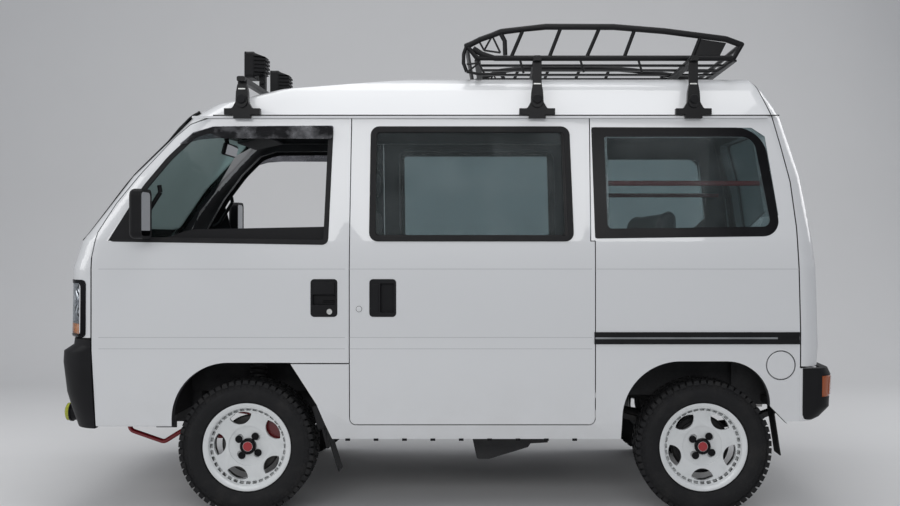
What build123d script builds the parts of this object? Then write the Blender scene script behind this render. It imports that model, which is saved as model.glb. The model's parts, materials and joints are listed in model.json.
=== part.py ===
from build123d import *

# A forward-control kei-class van with a high roof: body shell, doors, glass, running gear and roof rack.
# Millimetres. +X forward, +Y to the van's left, +Z up. The origin is on the ground under the middle.

import os
from math import cos, pi, radians, sin, sqrt, tan

# Overall
WHEELBASE = 1900.0
FRONT_OVERHANG = 841.0
REAR_OVERHANG = 554.0
BODY_WIDTH = 1395.0
HALF_W = BODY_WIDTH / 2
FRONT_X = (REAR_OVERHANG + WHEELBASE - FRONT_OVERHANG) / 2      # front axle
REAR_X = FRONT_X - WHEELBASE                                    # rear axle
NOSE_X = FRONT_X + FRONT_OVERHANG
TAIL_X = REAR_X - REAR_OVERHANG

# Gaps
SHUT_GAP = 5.0            # round everything that opens
RUN_GAP = 0.3             # between a turning piece and what carries it
PANEL_GAP = 4.0           # shut lines round panels that do not open here

# Body shell
WALL_T = 42.0             # doors, pillars and side walls, skin to trim
GLASS_T = 5.0
GLASS_SET = 3.0           # glass below the skin
NOSE_CORNER_R = 130.0
TAIL_CORNER_R = 80.0
NOSE_BULGE = 45.0         # nose and windscreen, centre ahead of the corners
TAIL_BULGE = 12.0
ROOF_CROWN_Z = 1872.0
CROWN_DROP = 26.0
CROWN_EDGE_Y = 440.0
CROWN_CORNER = (40.0, 10.0, 80.0, 36.0)     # out and down to the middle and to the end of the corner's arc
GUTTER_Z = 1664.0
BELT_Z = 1137.0
SCUTTLE_Z = 1150.0
SILL_Z = 316.0
BODY_SECTIONS = [
    # z, nose ahead of front axle, tail behind rear axle, side in from the half width
    (SILL_Z, 753.5, 466.5, 22.5),
    (380.0, 770.0, 480.0, 7.5),
    (700.0, 805.5, 501.5, 0.0),
    (1026.0, 799.5, 491.5, 0.0),
    (BELT_Z, 764.5, 479.5, 7.5),
    (1413.0, 564.5, 436.5, 41.5),
    (GUTTER_Z, 320.5, 362.5, 75.5),
    (1726.0, 227.5, 336.5, 114.5),
    (1794.0, -23.5, 301.5, 157.5),
    (1885.0, -1089.5, 216.5, 214.5),
]

# Wheels and tyres
TYRE_R = 281.0
TYRE_W = 158.0
TRACK = 1220.0
RIM_R = 183.0
RIM_BEAD_R = 168.0
RIM_W = 132.0
RIM_WALL = 6.0
SPOKE_COUNT = 5
SPOKE_FACE_OUT = 36.0     # star's face outboard of the tyre's middle
SPOKE_T = 16.0
SPOKE_WINDOW_OUT_R = 146.0
SPOKE_WINDOW_IN_R = 94.0
SPOKE_WINDOW_HALF_ANGLE = 20.0
HUB_CAP_R = 33.0
HUB_CAP_OUT = 14.0
LUG_COUNT = 4
LUG_PCD = 100.0
LUG_HOLE_R = 13.0
RECESS_R = 83.0
RECESS_DEPTH = 5.0
WHEEL_Y = TRACK / 2
WHEELS = {
    # name: axle x, side of the van (+1 left, -1 right), angle of the first spoke window
    "front_left": (FRONT_X, 1, -111.0),
    "front_right": (FRONT_X, -1, -69.0),
    "rear_left": (REAR_X, 1, 126.0),
    "rear_right": (REAR_X, -1, 54.0),
}

# Steering axis, from the lower ball joint up to the strut's top
BALL_Y = 556.0
BALL_Z = 185.0
STRUT_TOP_Y = 436.0
STRUT_TOP_Z = 640.0
DISC_R = 118.0
DISC_T = 12.0
STUB_R = 15.0
HUB_BORE_R = STUB_R + RUN_GAP


def box(x0, x1, y0, y1, z0, z1):
    """A block between two corners."""
    middle = ((x0 + x1) / 2, (y0 + y1) / 2, (z0 + z1) / 2)
    return Pos(*middle) * Box(abs(x1 - x0), abs(y1 - y0), abs(z1 - z0))


def side_face(points, radii=None):
    """A face in the XZ plane from (x, z) points; radii rounds corners by their index."""
    sketch = Plane.XZ * Polygon(*points, align=None)
    if not radii:
        return sketch
    for index, radius in radii.items():
        corner = Vector(points[index][0], 0, points[index][1])
        vertex = min(sketch.vertices(), key=lambda v: (Vector(v.X, v.Y, v.Z) - corner).length)
        sketch = fillet(vertex, radius)
    return sketch


def side_prism(points, y0, y1, radii=None):
    """An outline in side view carried across from y0 to y1."""
    return Pos(0, y0, 0) * extrude(side_face(points, radii), amount=y1 - y0, dir=(0, 1, 0))


def front_prism(points, x0, x1, radii=None):
    """An outline in front view, (y, z) points, carried along from x0 to x1."""
    sketch = Plane.YZ * Polygon(*points, align=None)
    for index, radius in (radii or {}).items():
        corner = Vector(0, points[index][0], points[index][1])
        vertex = min(sketch.vertices(), key=lambda v: (Vector(v.X, v.Y, v.Z) - corner).length)
        sketch = fillet(vertex, radius)
    return Pos(x0, 0, 0) * extrude(sketch, amount=x1 - x0, dir=(1, 0, 0))


def rod(start, end, radius):
    """A round bar between two points."""
    along = Vector(*end) - Vector(*start)
    return Solid.make_cylinder(radius, along.length, Plane(origin=start, z_dir=along))


def rod_y(x, z, radius, y0, y1):
    """A round bar across the van."""
    return rod((x, y0, z), (x, y1, z), radius)


def mirrored(shape):
    """The right-hand twin of a left-hand piece."""
    return mirror(shape, about=Plane.XZ)


def both_sides(shape):
    """A left-hand piece with its right-hand twin."""
    return [shape, mirrored(shape)]


def front_of(rows):
    """Points given ahead of the front axle, moved to the van's frame."""
    return [(FRONT_X + ahead, z) for ahead, z in rows]


def rear_of(rows):
    """Points given ahead of the rear axle, moved to the van's frame."""
    return [(REAR_X + ahead, z) for ahead, z in rows]


def between(rows, z, column):
    """A column of a table of sections at height z, in line between its rows."""
    for low, high in zip(rows, rows[1:]):
        if z <= high[0]:
            break
    share = (z - low[0]) / (high[0] - low[0])
    return low[column] + share * (high[column] - low[column])


def plan_section(z, nose, tail, half, nose_r, tail_r, nose_bulge, tail_bulge):
    """The body's outline at one height: bowed nose and tail, straight sides, round corners."""
    front, rear = nose - nose_bulge, tail + tail_bulge
    fy, ry = half - nose_r, half - tail_r
    k = 1 - cos(radians(45))
    edges = [
        ThreePointArc((front, -fy, z), (nose, 0, z), (front, fy, z)),
        ThreePointArc((front, fy, z), (front - k * nose_r, half - k * nose_r, z), (front - nose_r, half, z)),
        Line((front - nose_r, half, z), (rear + tail_r, half, z)),
        ThreePointArc((rear + tail_r, half, z), (rear + k * tail_r, half - k * tail_r, z), (rear, ry, z)),
        ThreePointArc((rear, ry, z), (tail, 0, z), (rear, -ry, z)),
        ThreePointArc((rear, -ry, z), (rear + k * tail_r, k * tail_r - half, z), (rear + tail_r, -half, z)),
        Line((rear + tail_r, -half, z), (front - nose_r, -half, z)),
        ThreePointArc((front - nose_r, -half, z), (front - k * nose_r, k * nose_r - half, z), (front, -fy, z)),
    ]
    return Wire(edges)


def stack(sections):
    """A solid through plan sections, ruled from each to the next."""
    return Solid.make_loft(sections, ruled=True)


def inset_rows(inset):
    """The body's sections moved in by a wall, square to the nose, screen and roof."""
    rows = []
    last = len(BODY_SECTIONS) - 1
    for index, (z, nose, _, _) in enumerate(BODY_SECTIONS):
        below = BODY_SECTIONS[max(index - 1, 0)]
        above = BODY_SECTIONS[min(index + 1, last)]
        run, rise = above[1] - below[1], above[0] - below[0]
        slope = sqrt(run * run + rise * rise)
        lower_z = z + inset * run / slope if inset else z
        tail = between(BODY_SECTIONS, lower_z, 2) - inset
        tuck = between(BODY_SECTIONS, lower_z, 3) + inset
        rows.append((lower_z, nose - inset * rise / slope, tail, tuck))
    return rows


def crown(inset):
    """What lies under the roof's crowned top and its rounded edges."""
    top, edge = ROOF_CROWN_Z - inset, ROOF_CROWN_Z - CROWN_DROP - inset
    mid_out, mid_down, end_out, end_down = CROWN_CORNER
    y0 = CROWN_EDGE_Y - inset
    corner = [(y0, edge), (y0 + mid_out, edge - mid_down), (y0 + end_out, edge - end_down)]
    foot = corner[2][0] + corner[2][1] - SILL_Z / 2
    left = Polyline((0, 0), (-foot, 0), (-foot, SILL_Z / 2), (-corner[2][0], corner[2][1]))
    outline = [
        *left.edges(),
        ThreePointArc((-corner[2][0], corner[2][1]), (-corner[1][0], corner[1][1]), (-corner[0][0], edge)),
        ThreePointArc((-corner[0][0], edge), (0, top), (corner[0][0], edge)),
        ThreePointArc((corner[0][0], edge), corner[1], corner[2]),
        *Polyline(corner[2], (foot, SILL_Z / 2), (foot, 0), (0, 0)).edges(),
    ]
    face = Plane.YZ * make_face(outline)
    return Pos(TAIL_X, 0, 0) * extrude(face, amount=NOSE_X - TAIL_X, dir=(1, 0, 0))


def envelope(inset=0.0):
    """The body's outer form, or that form moved in by inset and open below."""
    rows = inset_rows(inset)
    if inset:
        rows[0] = (SILL_Z - inset,) + rows[0][1:]
    wires = [plan_section(z, FRONT_X + nose, REAR_X - tail, HALF_W - tuck, NOSE_CORNER_R - inset,
                          TAIL_CORNER_R - inset, NOSE_BULGE, TAIL_BULGE) for z, nose, tail, tuck in rows]
    return stack(wires) & crown(inset)

# Outlines in side view. Rows are (ahead of an axle, z).
FRONT_DOOR_FRONT = 636.5          # ahead of the front axle
DOOR_LINE = -427.5                # rear edge of the front door, ahead of the front axle
DOOR_TOP_Z = 1655.0
FRONT_DOOR_FOOT_Z = 370.0
FRONT_DOOR_STEP_Z = 634.0         # lower edge behind the wheel arch
FRONT_DOOR = [
    (FRONT_DOOR_FRONT - 13.0, FRONT_DOOR_FOOT_Z), (FRONT_DOOR_FRONT, 685.0), (FRONT_DOOR_FRONT, 1072.0),
    (618.5, 1174.0), (551.5, 1295.0), (446.5, 1427.0), (318.5, 1578.0), (253.5, 1630.0),
    (170.0, DOOR_TOP_Z), (DOOR_LINE, DOOR_TOP_Z), (DOOR_LINE, FRONT_DOOR_STEP_Z), (-182.5, FRONT_DOOR_STEP_Z),
    (0.0, FRONT_DOOR_FOOT_Z),
]
FRONT_WINDOW = [
    (571.5, 1140.0), (439.5, 1361.0), (334.5, 1493.0), (231.5, 1592.0), (150.0, 1617.0),
    (-352.0, 1621.0), (-338.5, 1125.0),
]
FRONT_WINDOW_R = {5: 45.0, 6: 18.0}
FRONT_ARCH = [(-362.0, 300.0), (-293.5, 461.0), (-182.5, 635.0), (306.0, 635.0), (308.5, 300.0)]
FRONT_ARCH_R = {3: 235.0}
SLIDE_FOOT_Z = 379.0
SLIDE_REAR = 453.5                # ahead of the rear axle
SLIDE_REAR_TOP = 472.5
SLIDE_WINDOW_FRONT = -512.5       # ahead of the front axle
SLIDE_WINDOW_REAR = 541.5         # ahead of the rear axle
SLIDE_WINDOW_REAR_TOP = 557.5
SLIDE_WINDOW_Z = (1139.0, 1619.0)
SLIDE_WINDOW_R = 35.0
SLIDE_CORNER_R = 25.0
QUARTER_GLASS = [
    (462.5, 1617.0), (-209.5, 1615.0), (-264.5, 1578.0), (-310.5, 1246.0), (-219.5, 1160.0),
    (451.5, 1150.0),
]
QUARTER_OPENING = [
    (398.0, 1575.0), (-200.0, 1575.0), (-225.0, 1560.0), (-262.0, 1262.0), (-190.0, 1194.0),
    (392.0, 1190.0),
]
REAR_ARCH = [
    (345.0, 290.0), (330.0, 641.0), (-272.0, 641.0), (-272.0, 455.0), (-345.0, 380.0), (-345.0, 290.0),
]
REAR_ARCH_R = {1: 240.0, 2: 178.0}
TAIL_SHUT = [
    (-247.0, 1900.0), (-250.5, 1826.0), (-290.5, 1687.0), (-328.5, 1534.0), (-362.5, 1384.0),
    (-381.5, 1197.0), (-388.5, 1021.0), (-394.5, 767.0),
]
TAIL_SHUT_FOOT = -394.5
TAILGATE_FOOT_Z = 620.0
REAR_PANEL_TOP_Z = 612.0
TAIL_FOOT_Z = 392.0
TAIL_WINDOW = [(-560.0, 1190.0), (560.0, 1190.0), (528.0, 1640.0), (-528.0, 1640.0)]
TAIL_WINDOW_R = 55.0
SCREEN = [(-618.0, SCUTTLE_Z), (618.0, SCUTTLE_Z), (560.0, GUTTER_Z + 22.0), (-560.0, GUTTER_Z + 22.0)]
SCREEN_TOP_R = 60.0
ROOF_T = 26.0
NOSE_PANEL_FOOT_Z = 738.0
NOSE_BACK = FRONT_DOOR_FRONT + SHUT_GAP          # rear edge of the nose panel, ahead of the front axle

# Door handles; x ranges are ahead of the front axle
HANDLE_FRONT = (-380.0, -269.5)
HANDLE_SLIDE = (-623.5, -513.0)
HANDLE_Z = (825.0, 981.0)
HANDLE_R = 15.0
HANDLE_DEPTH = 20.0
HANDLE_PROUD = 2.0
HANDLE_FLOOR_T = 6.0
HANDLE_RIM = 9.0
HANDLE_FINGER_Z = (875.0, 916.0)
LEVER_Z = (886.0, 892.0)
LEVER_W = 50.0
GRIP_W = 46.0

# Fuel filler, left side only
LID_X = REAR_X - 316.0
LID_Z = 624.5
LID_R = 57.0
LID_T = 9.0
LID_POCKET_DEPTH = 30.0

# Lamps in the nose
HEADLAMP_Z = (731.0 + 8.0, 967.0)
HEADLAMP_BACK = 695.5             # ahead of the front axle
HEADLAMP_INNER_Y = 345.0
LAMP_T = 38.0

# Floor
FLOOR_Z = 660.0
FLOOR_T = 20.0
FOOTWELL_Z = 420.0
FOOTWELL_BACK = 343.5             # ahead of the front axle
FLOOR_HALF = 641.0                # beside the front doors
STEP_WELL_Y = 500.0
STEP_WELL_Z = 368.0
WHEELHOUSE_Y = 352.0              # inner wall of the front wheelhouses
REAR_WHEELHOUSE_Y = 478.0
RAIL_Y = (285.0, 335.0)
RAIL_Z = (470.0, 540.0)
NOSE_RAIL_Z = 330.0       # underside of the rails below the footwell
NOSE_PLATE = (640.0, 658.0)       # ahead of the front axle
NOSE_PLATE_FOOT_Z = 400.0

BIG = 3000.0
SEAM = 0.5                # between pressed panels that meet on a slope


def wall_inside(z):
    """Half the width between the side walls at height z, less a seam."""
    return HALF_W - between(BODY_SECTIONS, z, 3) - WALL_T - SEAM


def grown(points, gap, radii=None):
    """A side outline moved outwards by a gap, as a prism across the van."""
    face = offset(side_face(points, radii), amount=gap)
    return Pos(0, -BIG, 0) * extrude(face, amount=2 * BIG, dir=(0, 1, 0))


def through(points, radii=None):
    """A side outline as a prism across the van."""
    return side_prism(points, -BIG, BIG, radii)


def slide_outline():
    """The sliding door in side view."""
    front, rear, top = FRONT_X + DOOR_LINE - PANEL_GAP, REAR_X + SLIDE_REAR, REAR_X + SLIDE_REAR_TOP
    return [(front, SLIDE_FOOT_Z), (front, DOOR_TOP_Z), (top, DOOR_TOP_Z), (top, BELT_Z),
            (rear, BELT_Z), (rear, SLIDE_FOOT_Z)]


SLIDE_R = {0: SLIDE_CORNER_R, 5: SLIDE_CORNER_R}


def slide_window():
    """The sliding door's window in side view."""
    foot, head = SLIDE_WINDOW_Z
    front = FRONT_X + SLIDE_WINDOW_FRONT
    rear = REAR_X + SLIDE_WINDOW_REAR
    top = REAR_X + SLIDE_WINDOW_REAR_TOP
    return [(front, foot), (front, head), (top, head), (rear, foot)]


SLIDE_WINDOW_RADII = {index: SLIDE_WINDOW_R for index in range(4)}


def tail_zone(shift=0.0):
    """Everything behind the tailgate's shut line and above its foot."""
    line = [(x - shift, z) for x, z in rear_of(TAIL_SHUT)]
    foot_x = REAR_X + TAIL_SHUT_FOOT - shift
    far = TAIL_X - WALL_T
    return through(line + [(foot_x, TAILGATE_FOOT_Z), (far, TAILGATE_FOOT_Z), (far, line[0][1])])


def screen_hole():
    """The windscreen's outline carried along the van."""
    return front_prism(SCREEN, FRONT_X, NOSE_X, {2: SCREEN_TOP_R, 3: SCREEN_TOP_R})


def tail_hole():
    """The tailgate window's outline carried along the van."""
    return front_prism(TAIL_WINDOW, TAIL_X - WALL_T, REAR_X, {index: TAIL_WINDOW_R for index in range(4)})


class Shell:
    """The body's skins, made once and cut into its panels."""
    outer = envelope()
    inner = envelope(WALL_T)
    wall = outer - inner
    tail_zone = tail_zone()


def side_frame(side):
    """One side wall: pillars, sill, quarter panel and wheel arches, open at doors and windows."""
    front_x, foot_x = FRONT_X + NOSE_BACK, REAR_X + TAIL_SHUT_FOOT
    wall = Shell.wall & box(foot_x - BIG, front_x, 0, BIG, SILL_Z, GUTTER_Z)
    wall += Shell.wall & box(front_x, NOSE_X, 0, BIG, SCUTTLE_Z, GUTTER_Z)
    wall -= Shell.tail_zone
    wall -= box(foot_x - BIG, foot_x, 0, BIG, 0, TAILGATE_FOOT_Z)
    wall -= screen_hole()
    wall -= grown(front_of(FRONT_DOOR), SHUT_GAP)
    wall -= grown(slide_outline(), PANEL_GAP, SLIDE_R)
    wall -= through(front_of(FRONT_ARCH), FRONT_ARCH_R)
    wall -= through(rear_of(REAR_ARCH), REAR_ARCH_R)
    wall -= box(FRONT_X + FRONT_ARCH[4][0] - 1, BIG, 0, BIG, 0, FRONT_DOOR_FOOT_Z)
    wall -= box(FRONT_X + FRONT_DOOR[0][0] - SHUT_GAP, BIG, 0, BIG, 0, NOSE_PANEL_FOOT_Z)
    wall -= box(-BIG, REAR_X + REAR_ARCH[4][0] + 1, 0, BIG, 0, TAIL_FOOT_Z)
    wall -= through(rear_of(QUARTER_OPENING))
    wall -= quarter_glass_left()
    if side > 0:
        pocket = rod_y(LID_X, LID_Z, LID_R + SHUT_GAP, HALF_W - LID_POCKET_DEPTH, HALF_W + LID_POCKET_DEPTH)
        return wall - pocket
    return mirrored(wall)


def quarter_glass_left():
    """The flush quarter window that covers its own pillar."""
    return (Shell.outer - envelope(GLASS_T)) & side_prism(rear_of(QUARTER_GLASS), 0, BIG)


def roof_panel():
    """The high roof above the drip rails, with the screen's header."""
    panel = (Shell.outer - envelope(ROOF_T)) & box(-BIG, BIG, -BIG, BIG, GUTTER_Z, ROOF_CROWN_Z)
    return panel - Shell.tail_zone - screen_hole()


def lamp_zone(inner_y, back, z_range):
    """The corners of the nose where the headlamps sit."""
    block = box(FRONT_X + back, NOSE_X, inner_y, HALF_W + 1, *z_range)
    return block + mirrored(block)


def front_panel():
    """The nose skin up to the scuttle, with the plate behind the bumper."""
    back = FRONT_X + NOSE_BACK
    skin = Shell.wall & box(back, NOSE_X, -BIG, BIG, NOSE_PANEL_FOOT_Z, SCUTTLE_Z)
    skin -= lamp_zone(HEADLAMP_INNER_Y, HEADLAMP_BACK, (HEADLAMP_Z[0] - 1, HEADLAMP_Z[1]))
    x0, x1 = (FRONT_X + ahead for ahead in NOSE_PLATE)
    plate = box(x0, x1, -FLOOR_HALF, FLOOR_HALF, NOSE_PLATE_FOOT_Z, NOSE_PANEL_FOOT_Z + FLOOR_T)
    shelf = Shell.inner & box(x0, NOSE_X, -BIG, BIG, NOSE_PANEL_FOOT_Z, NOSE_PANEL_FOOT_Z + FLOOR_T)
    shelf -= box(-BIG, BIG, -BIG, BIG, 0, NOSE_PANEL_FOOT_Z)
    return skin + plate + (shelf - lamp_zone(HEADLAMP_INNER_Y, HEADLAMP_BACK, (0, HEADLAMP_Z[1])))


def rear_panel():
    """The cross panel under the tailgate."""
    foot_x = REAR_X + TAIL_SHUT_FOOT
    return Shell.wall & box(TAIL_X, foot_x, -BIG, BIG, TAIL_FOOT_Z, REAR_PANEL_TOP_Z)


def windscreen():
    """The curved windscreen, set in its frame."""
    pane = envelope(GLASS_SET) - envelope(GLASS_SET + GLASS_T)
    return pane & screen_hole() & box(FRONT_X, NOSE_X, -BIG, BIG, SCUTTLE_Z, ROOF_CROWN_Z)


def sliding_door_left():
    """The left sliding door, a whole pressed panel with its window cut."""
    door = Shell.wall & side_prism(slide_outline(), 0, BIG, SLIDE_R)
    door -= handle_block(HANDLE_SLIDE, RUN_GAP)
    return door - through(slide_window(), SLIDE_WINDOW_RADII)


def handle_block(span, grow=0.0):
    """A handle's rounded block in the door's skin; grow widens it into its pocket."""
    x0, x1 = FRONT_X + span[0] - grow, FRONT_X + span[1] + grow
    z0, z1 = HANDLE_Z[0] - grow, HANDLE_Z[1] + grow
    outline = [(x0, z0), (x0, z1), (x1, z1), (x1, z0)]
    foot = HALF_W - HANDLE_DEPTH - grow
    return side_prism(outline, foot, HALF_W + HANDLE_PROUD, {index: HANDLE_R + grow for index in range(4)})


def front_handle_left():
    """The left front door's handle: a recess for the fingers with its lever, and the lock."""
    x0, x1 = (FRONT_X + ahead for ahead in HANDLE_FRONT)
    floor = HALF_W - HANDLE_DEPTH + HANDLE_FLOOR_T
    block = handle_block(HANDLE_FRONT)
    block -= box(x0 + HANDLE_RIM, x1 - HANDLE_RIM, floor, BIG, *HANDLE_FINGER_Z)
    lever_x = x0 + HANDLE_RIM + LEVER_W
    return block + box(x0 + HANDLE_RIM, lever_x, floor - 1, floor + 2 * HANDLE_PROUD, *LEVER_Z)


def slide_handle_left():
    """The left sliding door's handle: an upright grip beside a deep recess."""
    x0, x1 = (FRONT_X + ahead for ahead in HANDLE_SLIDE)
    floor = HALF_W - HANDLE_DEPTH + HANDLE_FLOOR_T
    z0, z1 = HANDLE_Z[0] + 2 * HANDLE_RIM, HANDLE_Z[1] - 2 * HANDLE_RIM
    return handle_block(HANDLE_SLIDE) - box(x0 + HANDLE_RIM, x1 - GRIP_W, floor, BIG, z0, z1)


def sliding_glass_left():
    """Glass in the left sliding door."""
    pane = envelope(GLASS_SET) - envelope(GLASS_SET + GLASS_T)
    return pane & side_prism(slide_window(), 0, BIG, SLIDE_WINDOW_RADII)


def front_door_left():
    """The left front door; its window is wound down."""
    door = Shell.wall & side_prism(front_of(FRONT_DOOR), 0, BIG)
    door -= through(front_of(FRONT_ARCH), FRONT_ARCH_R)
    door -= handle_block(HANDLE_FRONT, RUN_GAP)
    return door - through(front_of(FRONT_WINDOW), FRONT_WINDOW_R)


def tailgate():
    """The top-hinged tailgate, wrapping round both rear corners."""
    return (Shell.wall & tail_zone(SHUT_GAP)) - tail_hole()


def tailgate_glass():
    """Glass in the tailgate."""
    pane = envelope(GLASS_SET) - envelope(GLASS_SET + GLASS_T)
    return pane & tail_hole() & tail_zone(SHUT_GAP)


def fuel_lid():
    """The round fuel lid, flush with the left rear wing."""
    return (Shell.outer - envelope(LID_T)) & rod_y(LID_X, LID_Z, LID_R, 0, BIG)


def headlamps():
    """Both headlamp units, wrapped round the corners of the nose."""
    zone = lamp_zone(HEADLAMP_INNER_Y, HEADLAMP_BACK, HEADLAMP_Z)
    units = (envelope(1.0) - envelope(LAMP_T)) & zone
    return units


def floor_pan():
    """The pressed floor: footwell, seat platform and load floor, open at the door steps."""
    tail = REAR_X + TAIL_SHUT_FOOT
    nose = FRONT_X + NOSE_PLATE[0]
    riser = FRONT_X + FOOTWELL_BACK
    door_x = FRONT_X + DOOR_LINE
    under = FLOOR_Z - FLOOR_T
    profile = [(nose, FOOTWELL_Z), (riser, FOOTWELL_Z), (riser, FLOOR_Z), (tail, FLOOR_Z), (tail, under),
               (riser - FLOOR_T, under), (riser - FLOOR_T, FOOTWELL_Z - FLOOR_T),
               (nose, FOOTWELL_Z - FLOOR_T)]
    pan = side_prism(profile, -FLOOR_HALF, FLOOR_HALF)
    half = wall_inside(under)
    pan += box(tail, door_x, -half, half, under, FLOOR_Z)
    for well in both_sides(step_well()):
        pan = pan - well
    return pan


def floor_nodes():
    """The floor's nodes, each cut back to meet those before it face to face."""
    pan = floor_pan()
    step = step_tray() - pan
    house = wheelhouse_walls() - pan - step
    rail = frame_rail() - pan - house
    nodes = {"floor_pan": [pan]}
    for name, left in (("door_steps", step), ("wheelhouses", house), ("frame_rails", rail)):
        nodes[name] = [solid for solid in left.solids()] + [mirrored(solid) for solid in left.solids()]
    return nodes


def step_well():
    """What a step well takes out of the left half of the floor."""
    front = FRONT_X + DOOR_LINE - FLOOR_T
    rear = REAR_X + SLIDE_REAR + FLOOR_T
    return box(rear, front, STEP_WELL_Y, BIG, STEP_WELL_Z, FLOOR_Z)


def step_tray():
    """The left step well's riser, tread and ends."""
    front, rear = FRONT_X + DOOR_LINE - FLOOR_T, REAR_X + SLIDE_REAR + FLOOR_T
    under = STEP_WELL_Z - FLOOR_T
    edge = wall_inside(under)
    riser = box(rear, front, STEP_WELL_Y - FLOOR_T, STEP_WELL_Y, under, FLOOR_Z)
    tread = box(rear, front, STEP_WELL_Y - FLOOR_T, edge, under, STEP_WELL_Z)
    return riser + tread


def wheelhouse_walls():
    """The left wheelhouses' inner walls."""
    front = FRONT_X + FOOTWELL_BACK
    rear = FRONT_X + FRONT_ARCH[0][0] - FLOOR_T
    inner = box(rear, front, WHEELHOUSE_Y - FLOOR_T, WHEELHOUSE_Y, RAIL_Z[0], FLOOR_Z)
    back = box(rear, rear + FLOOR_T, WHEELHOUSE_Y, FLOOR_HALF - 5, STEP_WELL_Z, FLOOR_Z)
    x0, x1 = REAR_X + REAR_ARCH[4][0] - FLOOR_T, REAR_X + REAR_ARCH[0][0] + FLOOR_T
    rear_inner = box(x0, x1, REAR_WHEELHOUSE_Y - FLOOR_T, REAR_WHEELHOUSE_Y, RAIL_Z[0], FLOOR_Z)
    half = wall_inside(RAIL_Z[0])
    rear_front = box(x1 - FLOOR_T, x1, REAR_WHEELHOUSE_Y - FLOOR_T, half, RAIL_Z[0], FLOOR_Z)
    rear_back = box(x0, x0 + FLOOR_T, REAR_WHEELHOUSE_Y - FLOOR_T, half, RAIL_Z[0], FLOOR_Z)
    return inner + back + rear_inner + rear_front + rear_back


def frame_rail():
    """The left frame rail, which kicks up behind and drops below the footwell in front."""
    tail, nose = REAR_X + TAIL_SHUT_FOOT, FRONT_X + NOSE_PLATE[0]
    front, rear = FRONT_X + FOOTWELL_BACK, REAR_X + REAR_ARCH[0][0] + FLOOR_T
    rail = box(tail, front, *RAIL_Y, *RAIL_Z) + box(tail, rear, *RAIL_Y, RAIL_Z[0], FLOOR_Z)
    rail += box(front - 3 * FLOOR_T, front, *RAIL_Y, NOSE_RAIL_Z, RAIL_Z[1])
    return rail + box(front - FLOOR_T, nose, *RAIL_Y, NOSE_RAIL_Z, FOOTWELL_Z - FLOOR_T)

# Bumpers. Sections are z, reach beyond the axle, side in from the half width.
FRONT_BUMPER = [
    (360.0, 781.5, 12.0), (438.0, 807.5, 6.0), (506.0, 826.5, 2.0), (631.0, 841.0, 0.0),
    (678.0, 838.5, 0.0), (706.0, 796.0, 0.0), (732.0, 793.0, 0.0),
]
REAR_BUMPER = [
    (386.0, 470.0, 14.0), (405.0, 508.0, 10.0), (447.0, 548.0, 4.0), (583.0, 554.0, 0.0),
    (612.0, 540.0, 0.0),
]
BUMPER_T = 40.0
BUMPER_STAY_Y = (380.0, 430.0)
BUMPER_STAY_Z = (590.0, 630.0)
BUMPER_STAY_AHEAD = 792.0                     # how far the stays run into the skin
BUMPER_NOSE_R = 130.0
BUMPER_TAIL_R = 80.0
BUMPER_SLOT = (310.0, 446.0, 560.0)          # half width, foot and head of the air slot
SLOT_BAR_Z = (484.0, 522.0)
SLOT_BAR_T = 7.0
FOG_Y = 470.0
FOG_Z = 420.0
FOG_R = 45.0
FOG_PROUD = 9.0
FOG_DEPTH = 60.0
FOG_GAP = 0.5
REAR_LAMP_Z = (492.0, 580.0)
REAR_LAMP_INNER_Y = 500.0
REAR_LAMP_BACK = 488.5                       # behind the rear axle

# Roof bars: place, height of the bar's top, foot widths
ROOF_BARS = [
    # ahead of which axle, x ahead of it, bar top z
    (FRONT_X, 25.5, 1826.0),
    (REAR_X, 691.0, 1912.0),
    (REAR_X, 36.5, 1912.0),
]
BAR_W = 34.0
BAR_H = 22.0
FOOT_Y = 640.0
FOOT_BASE = (150.0, 30.0)                     # length along the rail, width across it
FOOT_POST = (38.0, 14.0)
FOOT_OUTLINE = [
    # half width, height above the drip rail
    (75.0, 4.0), (75.0, 30.0), (42.0, 30.0), (27.0, 56.0), (25.0, 98.0), (19.0, 130.0),
]
FOOT_JAW = (36.0, 12.0)                       # half length, how far it reaches below the rail's top
FOOT_KNOB_R = 24.0
FOOT_KNOB_Z = 56.0
FOOT_KNOB_OUT = 10.0
GUTTER_OUT = 12.0
GUTTER_H = 9.0

# Roof basket
BASKET_HALF_W = 520.0
BASKET_TUBE_R = 10.0
BASKET_FLOOR_Z = 1912.0
BASKET_LOW_Z = 1926.0
BASKET_FRONT = 943.5                         # ahead of the rear axle, lower rail
BASKET_REAR = -160.5
BASKET_TOP_RAIL = [
    # ahead of rear axle, z
    (991.5, 1981.0), (842.5, 2043.0), (648.5, 2065.0), (357.5, 2064.0), (138.5, 2046.0),
    (-125.5, 2012.0), (-195.5, 1986.0),
]
BASKET_STRUTS = [
    # foot and head ahead of rear axle
    (800.0, 745.0), (636.0, 582.0), (475.0, 415.0), (313.0, 264.0), (20.0, -20.0),
]
BASKET_SLATS = 7
SLAT_T = 8.0
SLAT_W = 26.0

# Driving lamps
SPOT_Y = 263.0
SPOT_FRONT = 90.5                            # ahead of the front axle
SPOT_SIZE = (87.0, 132.0, 118.0)
SPOT_Z = 1874.0
SPOT_RIM = 34.0                              # depth of the straight front part
SPOT_CORNER = 16.0
SPOT_TAPER = 20.0
SPOT_FINS = 5
SPOT_FIN_GAP = 7.0
SPOT_FIN_DEPTH = 8.0
SPOT_BRACKET = (13.0, 20.0)                  # half length and half width of the bracket

# Slide rails
SLIDE_RAIL = (456.5, -393.5, 712.0, 762.0)   # ahead of the rear axle, from and to; foot and head
SLIDE_RAIL_PROUD = 4.0


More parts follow.
